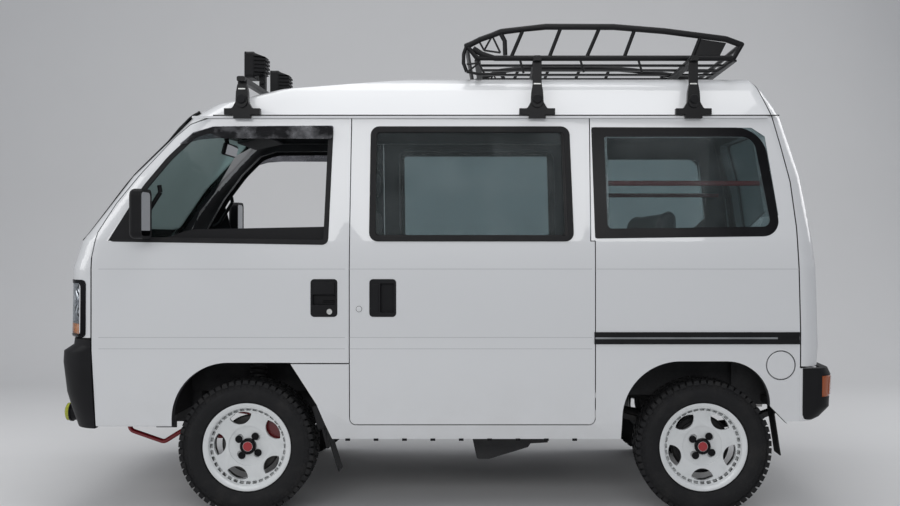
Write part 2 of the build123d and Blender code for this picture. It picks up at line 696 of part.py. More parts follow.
def bumper_solid(rows, front, inset=0.0):
    """A bumper's full form through its sections, moved in by inset."""
    wires = []
    for index, (z, reach, tuck) in enumerate(rows):
        if inset and index in (0, len(rows) - 1):
            z += -inset if index == 0 else inset
        half = HALF_W - tuck - inset
        if front:
            nose, tail = FRONT_X + reach - inset, FRONT_X
            radii = (BUMPER_NOSE_R - inset, BUMPER_TAIL_R)
        else:
            nose, tail = REAR_X, REAR_X - reach + inset
            radii = (BUMPER_NOSE_R, BUMPER_TAIL_R - inset)
        wires.append(plan_section(z, nose, tail, half, *radii, NOSE_BULGE, TAIL_BULGE))
    return stack(wires)


def fog_x():
    """Where the front bumper's face stands at the fog lamps."""
    reach = between(FRONT_BUMPER, FOG_Z, 1)
    flat = HALF_W - BUMPER_NOSE_R
    return FRONT_X + reach - NOSE_BULGE * (FOG_Y / flat) ** 2


def front_bumper():
    """The moulded front bumper with its air slot, bars and fog lamp holes."""
    foot, head = FRONT_BUMPER[0][0], FRONT_BUMPER[-1][0]
    skin = bumper_solid(FRONT_BUMPER, True) - bumper_solid(FRONT_BUMPER, True, BUMPER_T)
    edge = [(FRONT_X + NOSE_BACK, head + 1), (FRONT_X + NOSE_BACK, 685.0),
            (FRONT_X + NOSE_BACK - 13.0, foot - 1), (BIG, foot - 1), (BIG, head + 1)]
    skin &= through(edge)
    half, low, high = BUMPER_SLOT
    skin -= box(FRONT_X, BIG, -half, half, low, high)
    for z in SLOT_BAR_Z:
        bar = box(FRONT_X + 700, NOSE_X, -half, half, z - SLOT_BAR_T, z + SLOT_BAR_T)
        skin += bar & (bumper_solid(FRONT_BUMPER, True, 12.0) - bumper_solid(FRONT_BUMPER, True, BUMPER_T))
    stay_x = FRONT_X + NOSE_PLATE[1] + RUN_GAP
    stay = box(stay_x, FRONT_X + BUMPER_STAY_AHEAD, *BUMPER_STAY_Y, *BUMPER_STAY_Z)
    skin += stay
    skin += mirrored(stay)
    x = fog_x()
    for y in (-FOG_Y, FOG_Y):
        skin -= rod((x - 2 * FOG_DEPTH, y, FOG_Z), (x + FOG_DEPTH, y, FOG_Z), FOG_R + FOG_GAP)
    return skin


def fog_lamps():
    """Round fog lamps standing a little proud of the bumper."""
    x = fog_x()
    lamps = []
    for y in (-FOG_Y, FOG_Y):
        body = rod((x - FOG_DEPTH, y, FOG_Z), (x + FOG_PROUD, y, FOG_Z), FOG_R)
        front = body.faces().sort_by(Axis.X)[-1]
        lamps.append(fillet(front.edges(), 6.0))
    return lamps


def rear_lamp_zone():
    """The ends of the rear bumper that hold its lamps."""
    block = box(TAIL_X, REAR_X - REAR_LAMP_BACK, REAR_LAMP_INNER_Y, BIG, *REAR_LAMP_Z)
    return block + mirrored(block)


def rear_bumper():
    """The moulded rear bumper with pockets for its lamps."""
    skin = bumper_solid(REAR_BUMPER, False) - bumper_solid(REAR_BUMPER, False, BUMPER_T)
    skin &= box(TAIL_X, REAR_X + TAIL_SHUT_FOOT - 12.0, -BIG, BIG, REAR_BUMPER[0][0], REAR_BUMPER[-1][0])
    skin -= Shell.outer
    return skin - rear_lamp_zone()


def rear_lamps():
    """Lamp units in the ends of the rear bumper."""
    unit = bumper_solid(REAR_BUMPER, False) - bumper_solid(REAR_BUMPER, False, BUMPER_T)
    return (unit & rear_lamp_zone()) - Shell.outer


def drip_rail():
    """The left roof gutter, from the screen's corner to the tailgate."""
    y = HALF_W - BODY_SECTIONS[6][3]
    x0, x1 = REAR_X + TAIL_SHUT[2][0] + 12.0, FRONT_X + 240.0
    return box(x0, x1, y, y + GUTTER_OUT, GUTTER_Z - GUTTER_H, GUTTER_Z) - Shell.outer


def roof_foot(x, bar_top):
    """The left clamp foot at x: wings along the drip rail, post, jaw and round knob."""
    width = FOOT_BASE[1]
    post_w, post_t = FOOT_POST
    y0, y1 = FOOT_Y - width / 2, FOOT_Y + width / 2
    half = [(out, GUTTER_Z + up) for out, up in FOOT_OUTLINE]
    outline = [(x + out, z) for out, z in half] + [(x - out, z) for out, z in reversed(half)]
    foot = side_prism(outline, y0, y1, {2: 10.0, 3: 20.0, 8: 20.0, 9: 10.0})
    rail_y = HALF_W - BODY_SECTIONS[6][3] + GUTTER_OUT + RUN_GAP
    jaw_half, jaw_drop = FOOT_JAW
    foot += box(x - jaw_half, x + jaw_half, rail_y, y1, GUTTER_Z - jaw_drop, GUTTER_Z + FOOT_OUTLINE[1][1])
    foot += box(x - post_w / 2, x + post_w / 2, FOOT_Y - post_t / 2, FOOT_Y + post_t / 2,
                GUTTER_Z + FOOT_KNOB_Z, bar_top - BAR_H / 2)
    return foot + rod_y(x, GUTTER_Z + FOOT_KNOB_Z, FOOT_KNOB_R, FOOT_Y, y1 + FOOT_KNOB_OUT)


def roof_bars():
    """Three crossbars on clamp feet that grip the drip rails."""
    pieces = []
    for axle, ahead, top in ROOF_BARS:
        x = axle + ahead
        bar = box(x - BAR_W / 2, x + BAR_W / 2, -FOOT_Y - BAR_W, FOOT_Y + BAR_W, top - BAR_H, top)
        bar = fillet(bar.edges().filter_by(Axis.Y), BAR_H / 3)
        left = roof_foot(x, top)
        pieces.append(bar + left + mirrored(left))
    return pieces


def rail_path(points, radius):
    """A line through points with its corners rounded."""
    return FilletPolyline(*points, radius=radius)


def tube(points, radius, bend):
    """A bent round tube."""
    path = rail_path(points, bend)
    start = path @ 0
    direction = path % 0
    section = Plane(origin=start, z_dir=direction) * Circle(radius)
    return sweep(section, path=path)


def roof_basket():
    """A tubular luggage basket: lower frame, bowed top rail, slanted struts and floor slats."""
    half, r, low = BASKET_HALF_W, BASKET_TUBE_R, BASKET_LOW_Z
    front, rear = REAR_X + BASKET_FRONT, REAR_X + BASKET_REAR
    solid = None
    for side in (1, -1):
        rail = tube([(x, side * half, z) for x, z in rear_of(BASKET_TOP_RAIL)], r, 60.0)
        solid = rail if solid is None else solid + rail
        solid += rod((rear, side * half, low), (front, side * half, low), r)
        for foot, head in BASKET_STRUTS:
            x = REAR_X + head
            top = between([(a, z) for a, z in reversed(BASKET_TOP_RAIL)], head, 1)
            solid += rod((REAR_X + foot, side * half, low), (x, side * half, top), r * 0.8)
        solid += rod((front, side * half, low), (REAR_X + BASKET_TOP_RAIL[0][0], side * half,
                                                  BASKET_TOP_RAIL[0][1]), r)
        solid += rod((rear, side * half, low), (REAR_X + BASKET_TOP_RAIL[-1][0], side * half,
                                                 BASKET_TOP_RAIL[-1][1]), r)
    for ahead, z in (BASKET_TOP_RAIL[0], BASKET_TOP_RAIL[-1], (BASKET_FRONT, low), (BASKET_REAR, low)):
        solid += rod_y(REAR_X + ahead, z, r, -half, half)
    step = 2 * half / (BASKET_SLATS + 1)
    for index in range(BASKET_SLATS):
        y = -half + (index + 1) * step
        solid += box(rear, front, y - SLAT_W / 2, y + SLAT_W / 2, BASKET_FLOOR_Z, BASKET_FLOOR_Z + SLAT_T)
    for x in (rear, front):
        solid += box(x - SLAT_W / 2, x + SLAT_W / 2, -half, half, BASKET_FLOOR_Z, BASKET_FLOOR_Z + SLAT_T)
    return solid


def lamp_back(x, y, width, height, length):
    """A lamp's tapered back from x rearwards, square to its face."""
    plane = Plane(origin=(x, y, SPOT_Z + SPOT_SIZE[2] / 2), x_dir=(0, 1, 0), z_dir=(-1, 0, 0))
    return extrude(plane * RectangleRounded(width, height, SPOT_CORNER), amount=length, taper=SPOT_TAPER)


def driving_lamp(y):
    """One square driving lamp with cooling fins across its back, on its bracket."""
    depth, width, height = SPOT_SIZE
    x1 = FRONT_X + SPOT_FRONT
    body = box(x1 - SPOT_RIM, x1, y - width / 2, y + width / 2, SPOT_Z, SPOT_Z + height)
    body = fillet(body.edges().filter_by(Axis.X), SPOT_CORNER)
    back = lamp_back(x1 - SPOT_RIM, y, width - 6, height - 6, depth - SPOT_RIM)
    pitch = (height - 2 * SPOT_CORNER) / SPOT_FINS
    for index in range(SPOT_FINS):
        z = SPOT_Z + SPOT_CORNER + (index + 0.5) * pitch
        back -= box(x1 - depth - 1, x1 - SPOT_RIM - 4, y - width, y + width, z - SPOT_FIN_GAP / 2,
                    z + SPOT_FIN_GAP / 2)
    core = lamp_back(x1 - SPOT_RIM, y, width - 6 - 2 * SPOT_FIN_DEPTH, height - 6 - 2 * SPOT_FIN_DEPTH,
                     depth - SPOT_RIM - SPOT_FIN_DEPTH)
    x, bar_top = FRONT_X + ROOF_BARS[0][1], ROOF_BARS[0][2]
    half_x, half_y = SPOT_BRACKET
    bracket = box(x - half_x, x + half_x, y - half_y, y + half_y, bar_top, SPOT_Z + height / 2)
    return body + back + core + bracket


def driving_lamps():
    """Two square driving lamps over the front roof bar."""
    return [driving_lamp(y) for y in (-SPOT_Y, SPOT_Y)]


def slide_rails():
    """The black track covers along both rear wings."""
    x1, x0 = REAR_X + SLIDE_RAIL[0], REAR_X + SLIDE_RAIL[1]
    foot, head = SLIDE_RAIL[2], SLIDE_RAIL[3]
    strip = box(x0, x1, HALF_W, HALF_W + SLIDE_RAIL_PROUD, foot, head)
    groove_z = (foot + head) / 2
    strip -= box(x0 - 1, x1 + 1, HALF_W + SLIDE_RAIL_PROUD / 2, HALF_W + SLIDE_RAIL_PROUD + 1,
                 groove_z - 8.0, groove_z + 8.0)
    return both_sides(strip)

# Brakes, knuckles and suspension
KNUCKLE_T = 50.0
KNUCKLE_HALF_X = 30.0
KNUCKLE_IN = 34.0         # knuckle's outer face inboard of the wheel's middle plane
HUB_FLANGE_R = 62.0
CALIPER_ANGLE = 145.0     # from straight ahead, turning up
CALIPER_HALF_ANGLE = 24.0
STRUT_R = 21.0
COIL_R = 38.0
COIL_WIRE_R = 6.0
COIL_TURNS = 4
COIL_LOW_Z = 540.0
ARM_T = 22.0
ARM_W = 46.0
ARM_FLAT = 56.0          # level end of the arm inboard of its ball
BALL_R = 13.0
RACK_R = 18.0
RACK_BACK = 95.0          # rack behind the front axle
CROSS_Z = (215.0, 275.0)
BRACE_R = 10.0
BRACE_Y = 310.0
BRACE = [(45.0, 260.0), (210.0, 260.0), (380.0, 284.0), (460.0, 234.0), (615.0, 288.0), (615.0, NOSE_RAIL_Z)]
AXLE_TUBE_R = 32.0
DIFF_R = 105.0
DRUM_R = 100.0
DRUM_W = 46.0
DRUM_IN = 34.0
SPRING_Y = 420.0
SPRING_W = 50.0
SPRING_T = 24.0
SPRING_HALF = 360.0
DAMPER_R = 22.0

# Underbody masses
ENGINE = (-330.0, 60.0, -235.0, 235.0, 330.0, 625.0)       # ahead of the front axle; y; z
GEARBOX = (-760.0, -330.0, -130.0, 130.0, 330.0, 560.0)
PROP_R = 28.0
TANK = (968.5, 345.0, 475.0, 190.0, 465.0)                  # front ahead of the rear axle; y; z
SILENCER_R = 75.0
PIPE_R = 19.0

# Interior
SEAT_Y = 335.0
SEAT_W = 440.0
WHEEL_RIM_R = 180.0
WHEEL_TUBE_R = 13.0
COLUMN_TILT = 58.0        # column from the horizontal
COLUMN_HUB = (250.0, -335.0, 960.0)                        # ahead of the front axle, y, z
CARGO_BAR_R = 11.0
CARGO_BAR_Y = 598.0
CARGO_BAR_Z = 1383.0


def rim_profile():
    """Half of the rim barrel's section, (y outboard of the middle, radius)."""
    w, bead, lip, t = RIM_W / 2, RIM_BEAD_R, RIM_R, RIM_WALL
    outer = [(-w, lip), (-w + t, lip), (-w + t + 3, bead), (-22.0, bead - 6), (-4.0, bead - 22), (16.0, bead - 22),
             (34.0, bead - 4), (w - t - 3, bead), (w - t, lip), (w, lip)]
    inner = [(w, lip - t), (w - t, bead - t), (38.0, bead - t - 6), (20.0, bead - 22 - t), (-6.0, bead - 22 - t),
             (-26.0, bead - 6 - t), (-w + t, bead - t), (-w, lip - t)]
    return outer + inner


def turned(points, x, y, z, side):
    """A solid of revolution about a wheel's axis from (y outboard, radius) points."""
    outline = Plane.XY * Polygon(*[(r, side * out) for out, r in points], align=None)
    body = revolve(outline, Axis.Y, 360)
    return Pos(x, y, z) * body


def rim(name):
    """A five-spoke wheel: barrel, star with lens-shaped windows, recess, lug holes and hub cap."""
    x, side, first = WHEELS[name]
    y, z = side * WHEEL_Y, TYRE_R
    barrel = turned(rim_profile(), x, y, z, side)
    face, back = SPOKE_FACE_OUT, SPOKE_FACE_OUT - SPOKE_T
    dish = [(face - 10, RIM_BEAD_R - 5), (face, RIM_BEAD_R - 17), (face, RECESS_R), (face - RECESS_DEPTH, RECESS_R),
            (face - RECESS_DEPTH, 0), (back - 8, 0), (back - 8, RECESS_R), (back, RECESS_R + 20),
            (back, RIM_BEAD_R - 26), (face - 10 - SPOKE_T, RIM_BEAD_R - 12)]
    wheel = barrel + turned(dish, x, y, z, side)
    for index in range(SPOKE_COUNT):
        wheel -= spoke_window(x, y, z, first + index * 360.0 / SPOKE_COUNT)
    for index in range(LUG_COUNT):
        angle = radians(45.0 + index * 360.0 / LUG_COUNT)
        hole = rod_y(x + LUG_PCD / 2 * cos(angle), z + LUG_PCD / 2 * sin(angle), LUG_HOLE_R,
                     y + side * (face - RECESS_DEPTH - 9), y + side * (face + 1))
        wheel -= hole
    cap = rod_y(x, z, HUB_CAP_R, y + side * (face - RECESS_DEPTH - 2), y + side * (face + HUB_CAP_OUT))
    top = cap.faces().sort_by(Axis.Y)[-1 if side > 0 else 0]
    wheel += fillet(top.edges(), 5.0)
    bore = rod_y(x, z, HUB_BORE_R, y - side * RIM_W / 2, y + side * (face - RECESS_DEPTH - 4))
    return wheel - bore


def spoke_window(x, y, z, angle):
    """A lens-shaped window through the star; its angle is seen from the left, from straight back."""
    half = radians(SPOKE_WINDOW_HALF_ANGLE)
    mid = radians(180.0 - angle)
    r1, r0 = SPOKE_WINDOW_OUT_R, SPOKE_WINDOW_IN_R
    tip = r1 * 0.93

    def at(radius, turn):
        return (x + radius * cos(mid + turn), 0.0, z + radius * sin(mid + turn))

    edges = [
        ThreePointArc(at(tip, -half), at(r1, 0), at(tip, half)),
        ThreePointArc(at(tip, half), at(r0, 0), at(tip, -half)),
    ]
    face = make_face(edges)
    return Pos(0, y - RIM_W / 2, 0) * extrude(face, amount=RIM_W, dir=(0, 1, 0))


def tyre(name):
    """A chunky tyre carcass with rounded shoulders, bored to seat on its rim."""
    x, side, _ = WHEELS[name]
    w, r, bead = TYRE_W / 2, TYRE_R, RIM_BEAD_R + 0.3
    half_seat = RIM_W / 2 - RIM_WALL - 0.3
    half, over = [(0.0, r), (w - 18, r), (w - 4, r - 9), (w - 3, r - 36), (w, r - 58), (w - 8, RIM_R + 6)], RIM_R + 0.5
    half += [(RIM_W / 2 + 0.5, over), (half_seat - 0.7, over), (half_seat - 3.2, bead), (0.0, bead)]
    section = half + [(-out, radius) for out, radius in reversed(half[1:-1])]
    return turned(section, x, side * WHEEL_Y, TYRE_R, side)


def brake_disc(name):
    """A front brake disc with its hat and hub flange, bored for the stub axle."""
    x, side, _ = WHEELS[name]
    back = SPOKE_FACE_OUT - SPOKE_T - 8
    hat = back - 26.0
    section = [(back, HUB_BORE_R), (back, HUB_FLANGE_R), (hat, HUB_FLANGE_R), (hat, DISC_R), (hat - DISC_T, DISC_R),
               (hat - DISC_T, HUB_BORE_R)]
    return turned(section, x, side * WHEEL_Y, TYRE_R, side)


def steer_point(z):
    """Where the left steering axis stands across the van at height z."""
    share = (z - BALL_Z) / (STRUT_TOP_Z - BALL_Z)
    return BALL_Y + share * (STRUT_TOP_Y - BALL_Y)


def knuckle_left():
    """The left knuckle: upright, stub axle, steering arm and lower strut tube."""
    y1 = WHEEL_Y - KNUCKLE_IN
    y0 = y1 - KNUCKLE_T
    upright = box(FRONT_X - KNUCKLE_HALF_X, FRONT_X + KNUCKLE_HALF_X, y0, y1, BALL_Z + BALL_R + RUN_GAP, TYRE_R + 85)
    upright = fillet(upright.edges().filter_by(Axis.Y), 18.0)
    stub_end = WHEEL_Y + SPOKE_FACE_OUT - RECESS_DEPTH - 12.0
    stub = rod_y(FRONT_X, TYRE_R, STUB_R, y0, stub_end)
    foot, head = TYRE_R + 60.0, COIL_LOW_Z + 40.0
    strut = rod((FRONT_X, steer_point(foot), foot), (FRONT_X, steer_point(head), head), STRUT_R)
    strut += rod((FRONT_X, steer_point(COIL_LOW_Z - 14), COIL_LOW_Z - 14),
                 (FRONT_X, steer_point(COIL_LOW_Z - 8), COIL_LOW_Z - 8), COIL_R + COIL_WIRE_R)
    arm = box(FRONT_X - RACK_BACK - 12, FRONT_X - KNUCKLE_HALF_X + 4, y0, y0 + 20, TYRE_R + 8, TYRE_R + 32)
    carrier = rod_y(FRONT_X, TYRE_R, STUB_R + 18, y0, y1 + 8)
    return upright + stub + strut + arm + carrier


def caliper_left():
    """The left brake caliper, straddling the disc and bolted to the knuckle."""
    hat = WHEEL_Y + SPOKE_FACE_OUT - SPOKE_T - 8 - 26.0
    gap = 1.2
    inner, outer = hat - DISC_T - gap, hat + gap
    mid, half = radians(180.0 - CALIPER_ANGLE), radians(CALIPER_HALF_ANGLE)
    mid = pi - mid
    r0, r1, r2 = DISC_R - 46.0, DISC_R + 4.0, DISC_R + 22.0

    def sector(inside, outside, y0, y1):
        def at(radius, turn):
            return (FRONT_X + radius * cos(mid + turn), 0.0, TYRE_R + radius * sin(mid + turn))
        edges = [
            ThreePointArc(at(outside, -half), at(outside, 0), at(outside, half)),
            Line(at(outside, half), at(inside, half)),
            ThreePointArc(at(inside, half), at(inside, 0), at(inside, -half)),
            Line(at(inside, -half), at(outside, -half)),
        ]
        return Pos(0, y0, 0) * extrude(make_face(edges), amount=y1 - y0, dir=(0, 1, 0))

    body = sector(r0, r2, WHEEL_Y - KNUCKLE_IN + 0.5, inner)
    body += sector(r1, r2, inner, outer)
    body += sector(r0, r2, outer, outer + 13.0)
    return body


def front_suspension():
    """Crossmember, lower arms, strut tops with coils, steering rack and the front brace."""
    pieces = []
    z0, z1 = CROSS_Z
    cross = box(FRONT_X - 45, FRONT_X + 45, -RAIL_Y[1], RAIL_Y[1], z1 - 30, z1)
    for y in (-RAIL_Y[0] - 25, RAIL_Y[0] + 25):
        cross += box(FRONT_X - 40, FRONT_X + 40, y - 20, y + 20, z1 - 20, RAIL_Z[0])
    rack_x = FRONT_X - RACK_BACK
    cross += rod_y(rack_x, z1 + 22, RACK_R, -RAIL_Y[1], RAIL_Y[1])
    cross += box(rack_x - 10, FRONT_X, -60, 60, z1 - 10, z1 + 24)
    for arm in both_sides(lower_arm()):
        cross += arm
    pieces.append(cross)
    pieces += both_sides(strut_top())
    return pieces


def lower_arm():
    """The left lower arm, from the crossmember to the ball under the knuckle."""
    y0, y1 = RAIL_Y[0], BALL_Y
    z0, z1, half = CROSS_Z[1] - 15, BALL_Z - 6, ARM_T / 2
    knee, end = y1 - ARM_FLAT, y1 + BALL_R - 4
    points = [(y0, z0 - half), (knee, z1 - half), (end, z1 - half), (end, z1 + half), (knee, z1 + half),
              (y0, z0 + half)]
    arm = front_prism(points, FRONT_X - ARM_W / 2, FRONT_X + ARM_W / 2)
    return arm + Pos(FRONT_X, BALL_Y, BALL_Z) * Sphere(BALL_R)


def strut_top():
    """The left strut's coil and its seat under the seat platform."""
    top = FLOOR_Z - FLOOR_T
    axis_low, axis_top = (FRONT_X, steer_point(COIL_LOW_Z), COIL_LOW_Z), (FRONT_X, steer_point(top - 14), top - 14)
    along = Vector(*axis_top) - Vector(*axis_low)
    step = along.length / COIL_TURNS
    plane = Plane(origin=axis_low, z_dir=along)
    section = [(COIL_R - 10, 0.0)]
    for index in range(COIL_TURNS):
        base = index * step
        section += [(COIL_R, base + step * 0.25), (COIL_R, base + step * 0.6), (COIL_R - 10, base + step * 0.85)]
    section += [(COIL_R - 10, along.length), (STRUT_R + 4, along.length), (STRUT_R + 4, 0.0)]
    coil = plane * revolve(Plane.XZ * Polygon(*section, align=None), Axis.Z, 360)
    seat_y = steer_point(top)
    seat = box(FRONT_X - 60, FRONT_X + 60, seat_y - 55, seat_y + 60, top - 16, top)
    return seat + coil


def brace():
    """The painted tube under the nose that ties the crossmember to the front."""
    return both_sides(tube([
        (FRONT_X + ahead, BRACE_Y, z) for ahead, z in BRACE], BRACE_R, 28.0))


def rear_axle():
    """The live rear axle: tube, differential, drums and stub ends."""
    end = WHEEL_Y - DRUM_IN
    axle = rod_y(REAR_X, TYRE_R, AXLE_TUBE_R, -end, end)
    ball = Pos(REAR_X, 0, TYRE_R) * Sphere(DIFF_R)
    axle += ball
    for side in (1, -1):
        inner, outer = side * (end - DRUM_W / 2), side * (end + DRUM_W / 2)
        axle += rod_y(REAR_X, TYRE_R, DRUM_R, inner, outer)
        axle += rod_y(REAR_X, TYRE_R, STUB_R, outer, side * (WHEEL_Y + SPOKE_FACE_OUT - RECESS_DEPTH - 12.0))
    return axle


def leaf_springs():
    """Rear leaf springs with shackles up to the frame rails, and their dampers."""
    pieces = []
    for side in (1, -1):
        y0, y1 = side * SPRING_Y - SPRING_W / 2, side * SPRING_Y + SPRING_W / 2
        seat = TYRE_R + AXLE_TUBE_R
        h, rise, t = SPRING_HALF, 70.0, SPRING_T
        edges = [
            *Polyline((REAR_X - h, 0, seat + rise + t), (REAR_X - h, 0, seat + rise)).edges(),
            ThreePointArc((REAR_X - h, 0, seat + rise), (REAR_X, 0, seat), (REAR_X + h, 0, seat + rise)),
            *Polyline((REAR_X + h, 0, seat + rise), (REAR_X + h, 0, seat + rise + t)).edges(),
            ThreePointArc((REAR_X + h, 0, seat + rise + t), (REAR_X, 0, seat + t), (REAR_X - h, 0, seat + rise + t)),
        ]
        spring = Pos(0, y0, 0) * extrude(make_face(edges), amount=y1 - y0, dir=(0, 1, 0))
        for x in (REAR_X - h + 12, REAR_X + h - 12):
            spring += box(x - 12, x + 12, y0, y1, seat + rise, FLOOR_Z - FLOOR_T)
        spring += rod((REAR_X - 60, side * (SPRING_Y - 60), TYRE_R + 20),
                      (REAR_X - 130, side * (SPRING_Y - 60), FLOOR_Z - FLOOR_T - 20), DAMPER_R)
        spring += box(REAR_X - 150, REAR_X - 110, side * (SPRING_Y - 60) - 20, side * (SPRING_Y - 60) + 20,
                      FLOOR_Z - FLOOR_T - 40, FLOOR_Z - FLOOR_T)
        spring += box(REAR_X - 75, REAR_X + 45, side * (SPRING_Y - 84), side * (SPRING_Y + SPRING_W / 2),
                      TYRE_R + AXLE_TUBE_R - 8, TYRE_R + AXLE_TUBE_R + 8)
        pieces.append(spring)
    axle = rear_axle()
    return [piece - axle for piece in pieces]


# Mud flaps: axle, head and foot ahead of it with their heights, and the wall that carries the bracket
FLAPS = [
    (FRONT_X, -283.5, 465.0, -375.5, 172.0, FRONT_ARCH[0][0]),
    (REAR_X, -291.5, RAIL_Z[0], -326.5, 240.0, REAR_ARCH[4][0] - FLOOR_T),
]
FLAP_T = 5.0
FLAP_Y = (545.0, 640.0)


def engine_block():
    """Engine and gearbox as plain masses under the front seats, with the propeller shaft."""
    x0, x1, y0, y1, z0, z1 = ENGINE
    block = box(FRONT_X + x0, FRONT_X + x1, y0, y1, z0, z1)
    block = fillet(block.edges().filter_by(Axis.X), 30.0)
    gx0, gx1, gy0, gy1, gz0, gz1 = GEARBOX
    gear = box(FRONT_X + gx0, FRONT_X + gx1 + 2, gy0, gy1, gz0, gz1)
    gear = fillet(gear.edges().filter_by(Axis.X), 40.0)
    shaft_end = REAR_X + DIFF_R + RUN_GAP
    shaft = rod((FRONT_X + gx0 + 5, 0, (gz0 + gz1) / 2), (shaft_end + 30, 0, TYRE_R + 20), PROP_R)
    return block + gear + shaft


def fuel_tank():
    """The fuel tank under the left step, its lower edge cut up at the back, with its straps."""
    ahead, y0, y1, z0, z1 = TANK
    x = REAR_X + ahead
    outline = [(x, z1), (x, z0 + 100), (x - 22, z0), (x - 74, z0), (x - 244, z0 + 52), (x - 255, z0 + 68),
               (x - 330, z0 + 72), (x - 330, z1)]
    tank = side_prism(outline, y0, y1, {1: 20.0, 2: 12.0, 3: 30.0})
    strap = box(x - 200, x - 160, RAIL_Y[0], y0 + 1, z1 - 60, RAIL_Z[0] - RUN_GAP)
    return tank + strap


def exhaust():
    """Silencer across the tail on the right, with its pipe running forward to the engine."""
    x = REAR_X - 250.0
    z = RAIL_Z[0] - 70.0
    can = rod_y(x - 70.0, z - 30, SILENCER_R, -385.0, -40.0)
    pipe = tube([(x - 40.0, -190.0, z - 40), (REAR_X + 60.0, -190.0, RAIL_Z[0] - 90 + 10),
                 (REAR_X + 160.0, -190.0, RAIL_Z[0] - 40), (FRONT_X - 560.0, -190.0, RAIL_Z[0] - 60),
                 (FRONT_X - 460.0, -190.0, ENGINE[4] + 35), (FRONT_X + ENGINE[0], -190.0, ENGINE[4] + 35)],
                PIPE_R, 45.0)
    tail = tube([(x - 70.0, -330.0, z - 70), (x - 160.0, -330.0, z - 92), (TAIL_X + 60.0, -330.0, z - 92)],
                PIPE_R, 40.0)
    hangers = box(x - 80, x - 60, -320.0, -300.0, z + 30, RAIL_Z[0])
    return can + pipe + tail + hangers


def mud_flaps():
    """Rubber flaps behind all four wheels, each on its own bracket."""
    pieces = []
    for axle, head_x, head_z, foot_x, foot_z, wall_x in FLAPS:
        head, foot, wall = axle + head_x, axle + foot_x, axle + wall_x
        points = [(head, head_z), (foot, foot_z), (foot - FLAP_T, foot_z), (head - FLAP_T, head_z)]
        flap = side_prism(points, *FLAP_Y)
        flap += box(wall, head, FLAP_Y[0] + 15, FLAP_Y[1] - 15, head_z - 10 - RUN_GAP, head_z - RUN_GAP)
        pieces += both_sides(flap)
    return pieces


WHEEL_DISH = 45.0
WHEEL_BOSS_R = 48.0
WHEEL_SPOKES = (90.0, 210.0, 330.0)
DASH_HALF = 600.0
COLUMN_R = 28.0
COLUMN_GAP = 5.0


def seat_face(points):
    """A seat section in side view, ready to carry across."""
    return [(FRONT_X + ahead, z) for ahead, z in points]


def soft(shape, radius):
    """A cushion's edges rounded along the sides."""
    ends = shape.faces().filter_by(Axis.Y)
    return fillet(ends.edges(), radius)


FRONT_CUSHION = [(95.0, 745.0), (85.0, 815.0), (-250.0, 800.0), (-345.0, 850.0), (-345.0, 700.0), (60.0, 700.0)]
FRONT_BACK = [(-240.0, 815.0), (-345.0, 1290.0), (-375.0, 1325.0), (-425.0, 1320.0), (-440.0, 1280.0),
              (-362.0, 805.0)]
HEADREST = [(-345.0, 1350.0), (-360.0, 1480.0), (-385.0, 1500.0), (-425.0, 1500.0), (-445.0, 1480.0),
            (-430.0, 1350.0)]
SEAT_BASE = (-330.0, 60.0)


def front_seats():
    """Two front seats: cushion, raked back and headrest on a base."""
    pieces = []
    half = SEAT_W / 2
    for y in (SEAT_Y, -SEAT_Y):
        cushion = soft(side_prism(seat_face(FRONT_CUSHION), y - half, y + half), 22.0)
        back = soft(side_prism(seat_face(FRONT_BACK), y - half + 8, y + half - 8), 22.0)
        rest = soft(side_prism(seat_face(HEADREST), y - 120, y + 120), 18.0)
        seat = cushion + back + rest
        for dy in (-50, 50):
            seat += rod((FRONT_X - 392.0, y + dy, 1300.0), (FRONT_X - 396.0, y + dy, 1375.0), 7.0)
        seat += box(FRONT_X + SEAT_BASE[0], FRONT_X + SEAT_BASE[1], y - half + 30, y + half - 30, FLOOR_Z, 705.0)
        pieces.append(seat)
    return pieces


REAR_CUSHION = [(620.0, 735.0), (610.0, 815.0), (230.0, 800.0), (190.0, 840.0), (190.0, 710.0), (590.0, 710.0)]
REAR_BACK = [(250.0, 815.0), (165.0, 1270.0), (130.0, 1295.0), (85.0, 1285.0), (75.0, 1250.0), (160.0, 800.0)]
REAR_HALF_W = 560.0


def rear_seat():
    """The rear bench on its base."""
    half = REAR_HALF_W
    cushion = soft(side_prism(rear_of(REAR_CUSHION), -half, half), 22.0)
    back = soft(side_prism(rear_of(REAR_BACK), -half, half), 22.0)
    base = box(REAR_X + 220.0, REAR_X + 380.0, -STEP_WELL_Y + 40, STEP_WELL_Y - 40, FLOOR_Z, 715.0)
    return cushion + back + base


DASH = [(668.0, 1075.0), (560.0, 1095.0), (470.0, 1060.0), (430.0, 985.0), (455.0, 880.0), (540.0, 780.0), (655.0, 765.0)]


